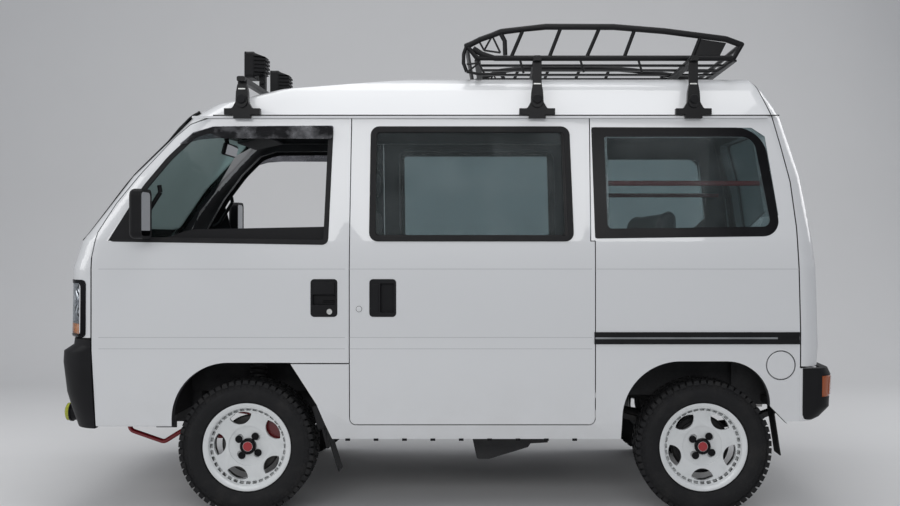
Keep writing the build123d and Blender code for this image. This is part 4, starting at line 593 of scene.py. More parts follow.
# A plate or a band on both sides: points in side view, thickness, stand-off, band width.
def sideTrim(name, points, body, slot, finish, radius=0.01, depth=0.004, offset=-0.001, band=0.0,
             soft=0.0008):
    for side in (1, -1):
        bm = bmesh.new()
        face = flatFace(bm, points, radius)
        if band:
            bmesh.ops.inset_region(bm, faces=[face], thickness=band, use_even_offset=True, use_boundary=True)
            bmesh.ops.delete(bm, geom=[max(bm.faces, key=lambda f: f.calc_area())], context="FACES")
        thicken(bm, depth)
        leanOnSide(bm, offset)
        softenEdges(bm, soft, 40.0)
        addSide(name, bm, side, body, slot, finish)


def boxInto(bm, centre, size, turn=None, soft=0.0):
    made = bmesh.ops.create_cube(bm, size=1.0)["verts"]
    bmesh.ops.scale(bm, verts=made, vec=size)
    if soft:
        edges = list({edge for vert in made for edge in vert.link_edges})
        bevelled = roundOff(bm, edges, soft)
        made = list({vert for face in bevelled["faces"] for vert in face.verts})
    if turn:
        bmesh.ops.rotate(bm, verts=made, cent=(0, 0, 0), matrix=turn)
    bmesh.ops.translate(bm, verts=made, vec=centre)
    return made


def rodInto(bm, start, end, radius, tip=None, segments=16):
    start, end = Vector(start), Vector(end)
    run = end - start
    turn = run.to_track_quat("Z", "Y").to_matrix().to_4x4()
    return bmesh.ops.create_cone(bm, cap_ends=True, segments=segments, radius1=radius,
                                 radius2=radius if tip is None else tip, depth=run.length,
                                 matrix=Matrix.Translation((start + end) / 2) @ turn)["verts"]


def revolve(bm, verts, centre, axis, steps, closed):
    edges = [bm.edges.new(pair) for pair in zip(verts, verts[1:])]
    if closed:
        edges.append(bm.edges.new((verts[-1], verts[0])))
    bmesh.ops.spin(bm, geom=verts + edges, cent=centre, axis=axis, angle=2 * pi, steps=steps, use_merge=True)
    bmesh.ops.remove_doubles(bm, verts=bm.verts, dist=1e-5)
    bmesh.ops.recalc_face_normals(bm, faces=bm.faces)


# A solid of revolution about a line along Y through (x, z), from (y, radius) points.
def turnInto(bm, points, x, z, steps=48, closed=True):
    verts = [bm.verts.new((x + radius, y, z)) for y, radius in points]
    revolve(bm, verts, (x, 0, z), (0, 1, 0), steps, closed)


# The same about a line along X through (y, z), from (x, radius) points.
def turnAlong(bm, points, y, z, steps=48, closed=False):
    verts = [bm.verts.new((x, y + radius, z)) for x, radius in points]
    revolve(bm, verts, (0, y, z), (1, 0, 0), steps, closed)


doorBody = {1: "front_door_left_body", -1: "front_door_right_body"}


# True for the inner side of a wall, and for what faces a wheel.
def facesCabin(centre, normal):
    inward = -normal.y if centre.y > 0 else normal.y
    return inArch(centre, normal) or abs(centre.y) < sideY(centre.z) - 0.030 and inward > 0.4


# True for the inner lip of a wheel arch: near a wheel and facing it.
def inArch(centre, normal):
    for axle in (fx, rx):
        reach = Vector((axle - centre.x, 0.0, van["axleZ"] - centre.z))
        if reach.length < 0.43 and abs(normal.y) < 0.6 and normal.dot(reach.normalized()) > 0.5:
            return True
    return False


for node in ("side_frame_left", "side_frame_right", "sliding_doors", "front_door_left", "front_door_right"):
    dress(node, 0.002, lining="trim", lined=facesCabin)
dress("roof_panel", 0.002, lining="headlining", lined=lambda centre, normal: normal.z < -0.35)
dress("tailgate", 0.002, lining="trim",
      lined=lambda centre, normal: normal.x > 0.5 and centre.x > tailX(0, 1.0) + 0.02)
dress("front_panel", 0.002, lining="trim", lined=lambda centre, normal: normal.x < -0.5)
dress("floor_pan", 0.001, "underseal", lining="carpet", lined=lambda centre, normal: normal.z > 0.5 or (
    normal.x < -0.5 and centre.x < 1.2))
for node in ("wheelhouses", "frame_rails"):
    dress(node, 0.001, "underseal")
dress("door_steps", 0.001, "underseal", lining="rubber", lined=lambda centre, normal: normal.z > 0.5)
for node in ("rear_panel", "drip_rails", "fuel_lid"):
    dress(node, 0.002)
for node in ("front_bumper", "rear_bumper", "slide_rails", "mirror_left", "mirror_right"):
    dress(node, 0.003)
for node in ("engine_block", "exhaust", "fuel_tank", "front_suspension", "front_brace", "rear_axle",
             "leaf_springs", "knuckle_left", "knuckle_right", "mud_flaps",
             "roof_bars", "roof_basket", "cargo_bars"):
    dress(node, 0.001)
# the calipers take the darker red of painted shade
for node in ("caliper_left", "caliper_right"):
    dress(node, 0.001, "caliperRed")
# the discs take the darkened steel of painted shade
for node in ("brake_disc_front_left", "brake_disc_front_right"):
    dress(node, 0.001, "shadedDiscSteel")
dress("windscreen", 0.0008, "screenGlass")
for node in ("side_glass", "tailgate_glass"):
    dress(node, 0.0008)
print("body skins ready")


tyreShape = {                      # metres; out is across the tyre from its middle
    "radius": 0.281, "groove": 0.0060, "halfWidth": 0.079, "seat": 0.1895,
    "shoulderLugs": 58, "centreBlocks": 44,
}


def tyreCarcass(bm):
    r, w, deep = tyreShape["radius"], tyreShape["halfWidth"], tyreShape["groove"]
    half = [(0.0, r - deep), (w - 0.020, r - deep - 0.001), (w - 0.007, r - deep - 0.007),
            (w - 0.004, r - 0.030),
            (w - 0.0035, r - 0.036), (w - 0.001, r - 0.040), (w - 0.0005, r - 0.058), (w - 0.003, r - 0.066),
            (w - 0.003, r - 0.070), (w - 0.008, r - 0.082), (w - 0.010, tyreShape["seat"] + 0.003),
            (w - 0.0125, tyreShape["seat"]), (w - 0.018, tyreShape["seat"] - 0.002), (w - 0.022, 0.1692)]
    section = half + [(-out, radius) for out, radius in reversed(half[1:])]
    turnInto(bm, section, 0.0, 0.0, 72)


# One lug: a box across the tread, narrower at its top, its outer end falling down the shoulder.
def lug(bm, outA, outB, length, skew, drop=0.0, top=None):
    r, deep = tyreShape["radius"], tyreShape["groove"]
    made = bmesh.ops.create_cube(bm, size=1.0)["verts"]
    for vert in made:
        share = vert.co.x + 0.5
        out = outA + (outB - outA) * share
        high = vert.co.z > 0
        lengthHere = length * (0.86 if high else 1.0)
        fall = drop * share if not high else drop * 0.10 * share
        radius = (r if high else r - deep - 0.002) - fall
        vert.co = Vector((vert.co.y * lengthHere + skew * (share - 0.5), out, radius))
    edges = list({edge for vert in made for edge in vert.link_edges})
    roundOff(bm, edges, 0.0011, 1)


def ringOfLugs(bm, count, phase, build):
    ring = bmesh.new()
    build(ring)
    bmesh.ops.rotate(ring, verts=ring.verts, cent=(0, 0, 0), matrix=Matrix.Rotation(phase, 3, "Y"))
    bmesh.ops.spin(ring, geom=[*ring.verts, *ring.edges, *ring.faces], cent=(0, 0, 0), axis=(0, 1, 0),
                   angle=2 * pi * (count - 1) / count, steps=count - 1, use_duplicate=True)
    pourInto(bm, ring)


def makeTyreMesh():
    bm = bmesh.new()
    tyreCarcass(bm)
    w = tyreShape["halfWidth"]
    count = tyreShape["shoulderLugs"]
    pitch = 2 * pi / count
    for side in (1, -1):
        long, short = side * 0.040, side * 0.046
        edge = side * (w - 0.0008)
        phase = 0.0 if side > 0 else pitch / 2
        ringOfLugs(bm, count // 2, phase, lambda ring: lug(ring, long, edge, 0.0235, side * 0.005, 0.009))
        ringOfLugs(bm, count // 2, phase + pitch,
                   lambda ring: lug(ring, short, edge, 0.0235, side * 0.005, 0.012))
        ringOfLugs(bm, tyreShape["centreBlocks"], phase + pitch * 0.4,
                   lambda ring: lug(ring, side * 0.004, side * 0.034, 0.024, side * 0.014))
        ringOfLugs(bm, count, phase, lambda ring: boxInto(     # bars moulded on the shoulder's side
            ring, (0, side * (w - 0.0037), tyreShape["radius"] - 0.030), (0.0085, 0.0034, 0.010),
            soft=0.0008))
    for vert in bm.verts:                                    # nothing stands past the tread's radius
        reach = Vector((vert.co.x, 0.0, vert.co.z)).length
        if reach > tyreShape["radius"]:
            vert.co.x *= tyreShape["radius"] / reach
            vert.co.z *= tyreShape["radius"] / reach
    return bm


def wheelSpot(name):
    x = fx if "front" in name else rx
    return Vector((x, van["wheelY"] * (1 if "left" in name else -1), van["axleZ"]))


hub = {"faceOut": 0.036, "capOut": 0.014, "capRadius": 0.0335, "pitch": 0.049, "pockets": 36,
       "boltTurn": 35.0,
       "shieldIn": 0.030, "shieldRadius": 0.124}


# The brake's shield, the black cap with its red centre, and the wheel bolts on dark discs of painted shade
# that stand for their holes.
def wheelFittings(name, side):
    spot = wheelSpot(name)
    body = "wheel_" + name
    face = hub["faceOut"]
    front = face + hub["capOut"]
    cap = bmesh.new()
    turnInto(cap, [(face - 0.004, 0.0), (face - 0.004, hub["capRadius"]), (front - 0.003, hub["capRadius"]),
                   (front + 0.0006, hub["capRadius"] - 0.004), (front + 0.0006, 0.021),
                   (front - 0.0005, 0.020), (front - 0.0005, 0.0)], 0.0, 0.0, 40, closed=False)
    red = bmesh.new()
    turnInto(red, [(front - 0.002, 0.0), (front - 0.002, 0.0195), (front + 0.0004, 0.0195),
                   (front + 0.0011, 0.017), (front + 0.0013, 0.0)], 0.0, 0.0, 32, closed=False)
    bolts = bmesh.new()
    outward = Matrix.Rotation(-pi / 2, 4, "X")
    for index in range(4):
        turn = radians(hub["boltTurn"] + index * 90)
        x, z = hub["pitch"] * cos(turn), hub["pitch"] * sin(turn)
        bmesh.ops.create_cone(bolts, cap_ends=True, segments=6, radius1=0.0095, radius2=0.0088, depth=0.017,
                              matrix=Matrix.Translation((x, face - 0.0085, z)) @ outward)
    softenEdges(bolts, 0.001, 40.0, 1)
    for index in range(4):                                   # painted shade: dark discs round the bolts stand for their shaded holes
        turn = radians(hub["boltTurn"] + index * 90)
        turnInto(bolts, [(face - 0.0020, 0.0), (face - 0.0020, 0.0153), (face + 0.0004, 0.0153),
                         (face + 0.0006, 0.0140), (face + 0.0002, 0.0120), (face + 0.0002, 0.0)],
                 hub["pitch"] * cos(turn), hub["pitch"] * sin(turn), 24, closed=False)
    # plate behind the brake, held on the knuckle or axle
    shield = bmesh.new()
    turnInto(shield, [(-hub["shieldIn"], 0.050), (-hub["shieldIn"], hub["shieldRadius"] - 0.006),
                      (-hub["shieldIn"] + 0.010, hub["shieldRadius"]),
                      (-hub["shieldIn"] + 0.010, hub["shieldRadius"] - 0.002),
                      (-hub["shieldIn"] + 0.0020, hub["shieldRadius"] - 0.009),
                      (-hub["shieldIn"] + 0.0020, 0.050)],
             0.0, 0.0, 48)
    if side < 0:
        mirrorToRight(shield)
    bmesh.ops.translate(shield, verts=shield.verts, vec=spot)
    holder = "knuckle_%s_body" % name.split("_")[1] if "front" in name else "body"
    addPiece(name + "Shield", shield, holder, "cast")
    for label, bm, slot, finish in (("Cap", cap, "trim", "glossBlack"), ("CapCentre", red, "red_paint", None),
                                    ("Bolts", bolts, "trim", "glossBlack")):
        if side < 0:
            mirrorToRight(bm)
        bmesh.ops.translate(bm, verts=bm.verts, vec=spot)
        addPiece(name + label, bm, body, slot, finish)


# Cuts the row of small pockets between the star and the rim's edge.
def pocketRim(rim, spot, side):
    cutters = bmesh.new()
    ringOfLugs(cutters, hub["pockets"], 0.0, lambda ring: boxInto(
        ring, (0, hub["faceOut"] - 0.0020, 0.1575), (0.0178, 0.0220, 0.0190), None, 0.0012))
    if side < 0:
        mirrorToRight(cutters)
    bmesh.ops.translate(cutters, verts=cutters.verts, vec=spot)
    mesh = bpy.data.meshes.new("pocketCutters")
    cutters.to_mesh(mesh)
    cutters.free()
    tool = bpy.data.objects.new("pocketCutters", mesh)
    scene.collection.objects.link(tool)
    cut = rim.modifiers.new("pockets", "BOOLEAN")
    cut.operation, cut.solver, cut.object = "DIFFERENCE", "EXACT", tool
    rim.modifiers.remove(rim.modifiers["evenNormals"])
    finished = bpy.data.meshes.new_from_object(rim.evaluated_get(bpy.context.evaluated_depsgraph_get()))
    rim.modifiers.remove(cut)
    rim.data = finished
    finished.set_sharp_from_angle(angle=radians(35))
    bpy.data.objects.remove(tool)


tyreMesh = makeTyreMesh()
for wheel in ("front_left", "front_right", "rear_left", "rear_right"):
    side = 1 if "left" in wheel else -1
    bm = tyreMesh.copy()
    if side < 0:
        mirrorToRight(bm)
    bmesh.ops.translate(bm, verts=bm.verts, vec=wheelSpot(wheel))
    tyre = addPiece(wheel + "Tyre", bm, "wheel_" + wheel, "tyre", sharp=40.0)
    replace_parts(tyre, "tyre_" + wheel)
    pocketRim(dress("rim_" + wheel, 0.0016), wheelSpot(wheel), side)
    wheelFittings(wheel, side)
tyreMesh.free()
print("wheels ready")


windowTrim = {                     # x metres ahead of an axle, z
    "front": [(0.5735, 1.1365), (0.4405, 1.3625), (0.3360, 1.4945), (0.2330, 1.5940), (0.1505, 1.6195),
              (-0.3545, 1.6235), (-0.3410, 1.1225)],
    "quarterOuter": [(0.4635, 1.6175), (-0.2560, 1.6155), (-0.3200, 1.1590), (0.4525, 1.1490)],
    "quarterInner": [(0.4100, 1.5770), (-0.2170, 1.5770), (-0.2800, 1.1990), (0.4000, 1.1900)],
    "sealWidth": 0.021,
}


def ahead(points, axleX):
    return [(axleX + x, z) for x, z in points]


for side in (1, -1):                                        # ceramic edge of the rear side panes
    bm = bmesh.new()
    ringFace(bm, ahead(windowTrim["quarterOuter"], rx), ahead(windowTrim["quarterInner"], rx),
             {0: 0.012, 1: 0.110, 2: 0.075, 3: 0.012}, {0: 0.008, 1: 0.050, 2: 0.035, 3: 0.022})
    thicken(bm, 0.0016)
    leanOnSide(bm, -0.0011)
    addSide("quarterEdge", bm, side, "body", "black_plastic", "glossBlack")

sideTrim("frontWindowSeal", ahead(windowTrim["front"], fx), doorBody, "rubber", "rubber", 0.026, 0.010,
         -0.0085, windowTrim["sealWidth"], 0.0012)
sideTrim("slideWindowSeal", [(fx - 0.5105, 1.137), (fx - 0.5105, 1.621), (rx + 0.5555, 1.621),
                             (rx + 0.5395, 1.137)],
         "body", "rubber", None, 0.036, 0.006, -0.0035, 0.023, 0.0016)
sideTrim("slideWindowLip", [(fx - 0.5315, 1.158), (fx - 0.5315, 1.600), (rx + 0.5855, 1.600),
                            (rx + 0.5725, 1.158)],
         "body", "rubber", "glossBlack", 0.022, 0.004, -0.0030, 0.006, 0.0010)
sideTrim("slideWindowPost", [(rx + 0.5565, 1.150), (rx + 0.5715, 1.610), (rx + 0.5935, 1.610),
                             (rx + 0.5785, 1.150)],
         "body", "trim", "glossBlack", 0.004, 0.003, -0.0055)
sideTrim("doorCapping", ahead([(0.560, 1.120), (0.560, 1.140), (0.395, 1.149), (0.330, 1.156), (0.275, 1.176),
                               (0.225, 1.188), (-0.336, 1.199), (-0.336, 1.120)], fx),
         doorBody, "trim", "black_plastic", 0.010, 0.014, -0.041, soft=0.003)


visor = {                          # metres; front, bend and rear are ahead of the front axle
    "front": 0.292, "bend": 0.152, "rear": -0.3545, "head": 1.6245, "slope": 0.52,
    "drop": 0.056, "stand": 0.016, "wall": 0.0024, "corner": 0.014,
}


# A smoked visor under the window's head, standing off at its lower edge.
def makeVisor(side):
    bm = bmesh.new()
    top = ahead([(visor["rear"], visor["head"]), (0.1520, 1.6205), (0.2350, 1.5950),
                 (visor["front"], 1.5430)], fx)
    foot = ahead([(0.2700, 1.5440), (0.2050, 1.5630), (0.1250, 1.5690), (visor["rear"] + 0.003, 1.5670)], fx)
    face = flatFace(bm, top + foot)
    corners = [vert for vert in face.verts if vert.co.z < 1.57 or vert.co.z > 1.61]
    roundOff(bm, corners, visor["corner"], 4, "VERTICES")
    cutEvery(bm, 0.008, 2)
    cutEvery(bm, 0.030, 0)
    for vert in bm.verts:
        head = visor["head"] - max(vert.co.x - fx - visor["bend"], 0.0) * visor["slope"]
        drop = min(max((head - vert.co.z) / visor["drop"], 0.0), 1.0)
        vert.co.y = sideY(vert.co.z) + 0.0008 + visor["stand"] * sin(drop * pi / 2) ** 0.8
    thicken(bm, -visor["wall"])
    addSide("windowVisor", bm, side, doorBody, "trim", "smokedVisor")


makeVisor(1)
makeVisor(-1)

for node in ("door_handle_left", "door_handle_right", "slide_handles"):
    dress(node, 0.0022)

handle = {"x0": -0.380, "x1": -0.2695, "lockX": 0.4586, "lockZ": 0.8466, "buttonX": 0.3368,
          "buttonZ": 0.8575}


def handleDetails(side):
    y = van["halfWidth"]
    lock = bmesh.new()
    turnInto(lock, [(y - 0.002, 0.0), (y - 0.002, 0.0115), (y + 0.0036, 0.0115), (y + 0.0036, 0.0098),
                    (y + 0.0028, 0.0092), (y + 0.0028, 0.0)], handle["lockX"], handle["lockZ"], 32,
                    closed=False)
    boxInto(lock, (handle["lockX"], y + 0.0029, handle["lockZ"]), (0.0016, 0.0012, 0.0085), soft=0.0003)
    flap = bmesh.new()
    wide = handle["x1"] - handle["x0"] - 0.020
    boxInto(flap, (fx + (handle["x0"] + handle["x1"]) / 2, y + 0.0012, 0.9440), (wide, 0.010, 0.052),
            soft=0.0042)
    pull = bmesh.new()
    boxInto(pull, (fx - 0.5365, y - 0.0010, 0.9030), (0.030, 0.0105, 0.118), soft=0.0048)
    button = bmesh.new()
    turnInto(button, [(y - 0.001, 0.0), (y - 0.001, 0.0112), (y + 0.0010, 0.0112), (y + 0.0016, 0.0100),
                      (y + 0.0016, 0.0)], handle["buttonX"], handle["buttonZ"], 32, closed=False)
    ring = bmesh.new()
    turnInto(ring, [(y - 0.001, 0.0112), (y - 0.001, 0.0128), (y + 0.0006, 0.0128), (y + 0.0006, 0.0112)],
             handle["buttonX"], handle["buttonZ"], 32)
    addSide("doorLock", lock, side, doorBody, "steel", "zinc")
    addSide("doorFlap", flap, side, doorBody, "black_plastic")
    addSide("slidePull", pull, side, "body", "black_plastic")
    addSide("slideButton", button, side, "body", "body_paint")
    addSide("slideButtonRing", ring, side, "body", "rubber")


handleDetails(1)
handleDetails(-1)

for side in (1, -1):                                        # bright line in the sliding track
    bm = bmesh.new()
    boxInto(bm, (rx + 0.0750, van["halfWidth"] + 0.0020, 0.7370), (0.754, 0.0014, 0.0075), soft=0.0004)
    addSide("trackLine", bm, side, "body", "steel", "greyTrim")

mirrorShape = {"back": 0.3845, "y": (0.7065, 0.8395), "z": (1.148, 1.350), "edge": 0.013, "corner": 0.020}
for side in (1, -1):
    bm = bmesh.new()
    y0, y1 = mirrorShape["y"]
    z0, z1 = mirrorShape["z"]
    made = bmesh.ops.create_cube(bm, size=1.0)["verts"]
    bmesh.ops.scale(bm, verts=made, vec=(0.0025, y1 - y0 - 2 * mirrorShape["edge"],
                                         z1 - z0 - 2 * mirrorShape["edge"]))
    upright = [edge for edge in bm.edges if abs((edge.verts[0].co - edge.verts[1].co).x) > 1e-4]
    roundOff(bm, upright, mirrorShape["corner"], 5)
    bmesh.ops.translate(bm, verts=bm.verts, vec=(fx + mirrorShape["back"] + 0.0030, (y0 + y1) / 2,
                                                 (z0 + z1) / 2))
    addSide("mirrorPane", bm, side, doorBody, "steel", "mirrorGlass")

lamp = {                           # headlamps; the corner is measured round a point in plan
    "centre": (fx + 0.58, 0.45), "reach": 0.25, "from": radians(-27.0), "to": radians(65.2),
    "bezelTo": radians(70.4), "foot": 0.739, "head": 0.967, "amberHead": 0.796,
    "bowlY": 0.500, "bowlZ": 0.882, "bowlDeep": 0.033,
}


def cornerPiece(name, points, skin, finish, slot, depth, offset, inner=None, radius=0.010, innerRadius=0.010):
    for side in (1, -1):
        bm = bmesh.new()
        if inner:
            ringFace(bm, points, inner, radius, innerRadius)
        else:
            flatFace(bm, points, radius)
        cutEvery(bm, 0.012, 0)
        thicken(bm, depth)
        bmesh.ops.translate(bm, verts=bm.verts, vec=(0.0, offset, 0.0))
        layRound(bm, skin, lamp["centre"], lamp["reach"])
        bmesh.ops.recalc_face_normals(bm, faces=bm.faces)
        addSide(name, bm, side, "body", slot, finish)


def spanRound(start, end, foot, head, edge=0.0):
    u0, u1 = start * lamp["reach"] - edge, end * lamp["reach"] + edge
    return [(u0, foot), (u0, head), (u1, head), (u1, foot)]


nose = skinOf("front_panel", "headlamps")
lensSkin = skinOf("headlamps")
foot, head, split = lamp["foot"], lamp["head"], lamp["amberHead"]
start, end = lamp["from"], lamp["to"]
cornerPiece("lampBezel", spanRound(start, lamp["bezelTo"], foot - 0.001, head + 0.011, 0.004), nose,
            "glossBlack",
            "black_plastic", 0.0030, -0.0005, spanRound(start, end, foot + 0.010, head - 0.004), 0.020, 0.016)
cornerPiece("lampBack", spanRound(start + 0.03, end - 0.06, foot + 0.012, head - 0.008), lensSkin,
            "reflector", "steel", 0.0015, -0.030)
cornerPiece("lampDivider", spanRound(start + 0.01, end - 0.01, split, split + 0.004), lensSkin, "greyTrim",
            "trim", 0.024, -0.026, radius=0.0)
cornerPiece("turnLens", spanRound(start + 0.02, end - 0.02, foot + 0.014, split - 0.002), lensSkin,
            "amberLens", "lamp_rear", 0.004, -0.012)
dress("headlamps", 0.004, "clearCover")


def lampBowls(side):
    bowl, bulb = bmesh.new(), bmesh.new()
    y, z = lamp["bowlY"], lamp["bowlZ"]
    x = noseX(y, z) - lamp["bowlDeep"]
    rings = [(0.000, 0.016), (0.004, 0.036), (0.011, 0.054), (0.020, 0.068), (0.024, 0.0755)]
    verts = [bowl.verts.new((x + depth, y + radius, z)) for depth, radius in rings]
    edges = [bowl.edges.new(pair) for pair in zip(verts, verts[1:])]
    bmesh.ops.spin(bowl, geom=verts + edges, cent=(x, y, z), axis=(1, 0, 0), angle=2 * pi, steps=48,
                   use_merge=True)
    bmesh.ops.solidify(bowl, geom=list(bowl.faces), thickness=0.0012)
    bmesh.ops.recalc_face_normals(bowl, faces=bowl.faces)
    rodInto(bulb, (x, y, z), (x + 0.017, y, z), 0.0070, 0.0060, 20)
    bmesh.ops.create_uvsphere(bulb, u_segments=16, v_segments=10, radius=0.0062,
                              matrix=Matrix.Translation((x + 0.017, y, z)))
    addSide("lampBowl", bowl, side, "body", "steel", "reflector")
    addSide("lampBulb", bulb, side, "body", "steel", "greyTrim")


lampBowls(1)
lampBowls(-1)

fog = {"y": 0.470, "z": 0.397, "radius": 0.040, "back": 1.560, "front": 1.6395}


# Round yellow lamps in black shells, standing out of the bumper's lower corners.
shells, lenses, rims = bmesh.new(), bmesh.new(), bmesh.new()
for y in (fog["y"], -fog["y"]):
    back, front, wide = fog["back"], fog["front"], fog["radius"]
    turnAlong(shells, [(back, 0.0), (back, wide * 0.62), (back + 0.022, wide * 0.86),
                       (front - 0.028, wide * 0.96), (front - 0.028, 0.0)], y, fog["z"])
    turnAlong(lenses, [(front - 0.0240, 0.0), (front - 0.0240, wide - 0.0008),
                       (front - 0.0080, wide - 0.0014),
                       (front - 0.0030, wide * 0.80), (front, wide * 0.40), (front + 0.0006, 0.0)], y,
                       fog["z"])
    turnAlong(rims, [(front - 0.0300, wide - 0.0010), (front - 0.0300, wide + 0.0018),
                     (front - 0.0220, wide + 0.0018),
                     (front - 0.0220, wide - 0.0010)], y, fog["z"], closed=True)
addPiece("fogShells", shells, "body", "black_plastic")
addPiece("fogRims", rims, "body", "black_plastic", "glossBlack")
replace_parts(addPiece("fogLenses", lenses, "body", "lamp_yellow"), "fog_lamps")

dress("rear_lamps", 0.004, "redLens", lining="rearAmber", lined=lambda centre, normal: abs(centre.y) > 0.618)
dress("driving_lamps", 0.0012)
print("trims and lamps ready")


seats = {                          # metres; lines are (x ahead of an axle, z) seen from the side
    "y": 0.335, "halfWidth": 0.212, "backHalf": 0.204, "restHalf": 0.112, "benchHalf": 0.548,
    "baseZ": 0.6835, "shellZ": 0.7085, "leverOut": 0.2170, "postOut": 0.050, "bracketOut": 0.2080,
    "benchBracket": 0.553,
    "voxel": 0.0085, "benchVoxel": 0.0125, "pressure": 4.0, "cap": 0.016,
    "cushion": [(0.078, 0.742), (0.074, 0.798), (-0.240, 0.786), (-0.326, 0.820), (-0.330, 0.714),
                (0.050, 0.712)],
    "back": [(-0.262, 0.840), (-0.352, 1.270), (-0.380, 1.306), (-0.418, 1.302), (-0.430, 1.270),
             (-0.358, 0.830)],
    "rest": [(-0.358, 1.362), (-0.368, 1.470), (-0.390, 1.490), (-0.420, 1.490), (-0.434, 1.470),
             (-0.424, 1.362)],
    "benchCushion": [(0.604, 0.744), (0.596, 0.798), (0.240, 0.786), (0.206, 0.818), (0.204, 0.722),
                     (0.578, 0.722)],
    "benchBack": [(0.232, 0.836), (0.156, 1.252), (0.126, 1.278), (0.096, 1.272), (0.088, 1.244),
                  (0.166, 0.826)],
}


# A closed block between two side walls, its long edges rounded.
def seatBlock(points, y0, y1, soft):
    bm = bmesh.new()
    bm.faces.new([bm.verts.new((x, y0, z)) for x, z in points])
    thicken(bm, y1 - y0)
    roundOff(bm, list(bm.edges), soft, 3)
    return bm


# Swells one pad with cloth pressure, capped, and gives its mesh back.
def swell(bm, voxel):
    mesh = bpy.data.meshes.new("pad")
    bm.to_mesh(mesh)
    bm.free()
    pad = bpy.data.objects.new("pad", mesh)
    scene.collection.objects.link(pad)
    remesh = pad.modifiers.new("remesh", "REMESH")
    remesh.mode, remesh.voxel_size = "VOXEL", voxel
    flat = bpy.data.meshes.new_from_object(pad.evaluated_get(bpy.context.evaluated_depsgraph_get()))
    pad.modifiers.clear()
    pad.data = flat
    cloth = pad.modifiers.new("swell", "CLOTH")
    cloth.settings.use_pressure = True
    cloth.settings.uniform_pressure_force = seats["pressure"]
    cloth.settings.effector_weights.gravity = 0.0
    cloth.settings.quality = 4
    cloth.collision_settings.use_collision = False
    for step in range(1, 21):
        scene.frame_set(step)
    swollen = bpy.data.meshes.new_from_object(pad.evaluated_get(bpy.context.evaluated_depsgraph_get()))
    pad.modifiers.clear()
    scene.frame_set(1)
    for vert, moved in zip(flat.vertices, swollen.vertices):
        step = moved.co - vert.co
        vert.co += step * min(1.0, seats["cap"] / max(step.length, 1e-6))
    made = bmesh.new()
    made.from_mesh(pad.data)
    bpy.data.objects.remove(pad)
    return made


# Presses sewn channels into a pad: each is (axis, place), sunk towards the pad's middle.
def sewChannels(bm, centre, channels, depth=0.0075, reach=0.013):
    for vert in bm.verts:
        sink = 0.0
        for axis, place in channels:
            away = abs(vert.co[axis] - place) / reach
            sink = max(sink, (1.0 - away * away) ** 2 if away < 1.0 else 0.0)
        if sink:
            inward = centre - vert.co
            vert.co += inward.normalized() * depth * sink


def finishPad(name, bm, body="body"):
    bmesh.ops.smooth_vert(bm, verts=bm.verts, factor=0.5, use_axis_x=True, use_axis_y=True, use_axis_z=True)
    bmesh.ops.recalc_face_normals(bm, faces=bm.faces)
    pad = addPiece(name, bm, body, "seat_cloth", sharp=180.0, even=False)
    finer = pad.modifiers.new("finer", "SUBSURF")
    finer.levels = finer.render_levels = 1
    return pad


# Both front seats: swollen once on the left, mirrored to the right.
def makeFrontSeats():
    y, half = seats["y"], seats["halfWidth"]
    shapes = (("Cushion", "cushion", half, 0.020, [(1, y - 0.118), (1, y + 0.118), (0, fx - 0.105)]),
              ("Back", "back", seats["backHalf"], 0.018, [(1, y - 0.112), (1, y + 0.112), (2, 1.085)]),
              ("Headrest", "rest", seats["restHalf"], 0.016, []))
    replaced = False
    for label, key, wide, soft, channels in shapes:
        points = ahead(seats[key], fx)
        bm = swell(seatBlock(points, y - wide, y + wide, soft), seats["voxel"])
        middle = sum((Vector((x, y, z)) for x, z in points), Vector()) / len(points)
        sewChannels(bm, middle, channels)
        twin = bm.copy()
        mirrorToRight(twin)
        left = finishPad("frontSeat" + label + "Left", bm)
        finishPad("frontSeat" + label + "Right", twin)
        if not replaced:
            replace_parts(left, "front_seats")
            replaced = True


def makeBench():
    half = seats["benchHalf"]
    shapes = (("Cushion", "benchCushion", [(1, -0.19), (1, 0.19), (0, rx + 0.420)]),
              ("Back", "benchBack", [(1, -0.19), (1, 0.19), (2, 1.040)]))
    for label, key, channels in shapes:
        points = ahead(seats[key], rx)
        bm = swell(seatBlock(points, -half, half, 0.018), seats["benchVoxel"])
        middle = sum((Vector((x, 0.0, z)) for x, z in points), Vector()) / len(points)
        # each channel sinks straight, not to the middle
        for vert in bm.verts:
            own = Vector((middle.x, vert.co.y, middle.z))
            for axis, place in channels:
                away = abs(vert.co[axis] - place) / 0.016
                if away < 1.0:
                    vert.co += (own - vert.co).normalized() * 0.008 * (1.0 - away * away) ** 2
        pad = finishPad("bench" + label, bm)
        if label == "Cushion":
            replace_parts(pad, "rear_seat")


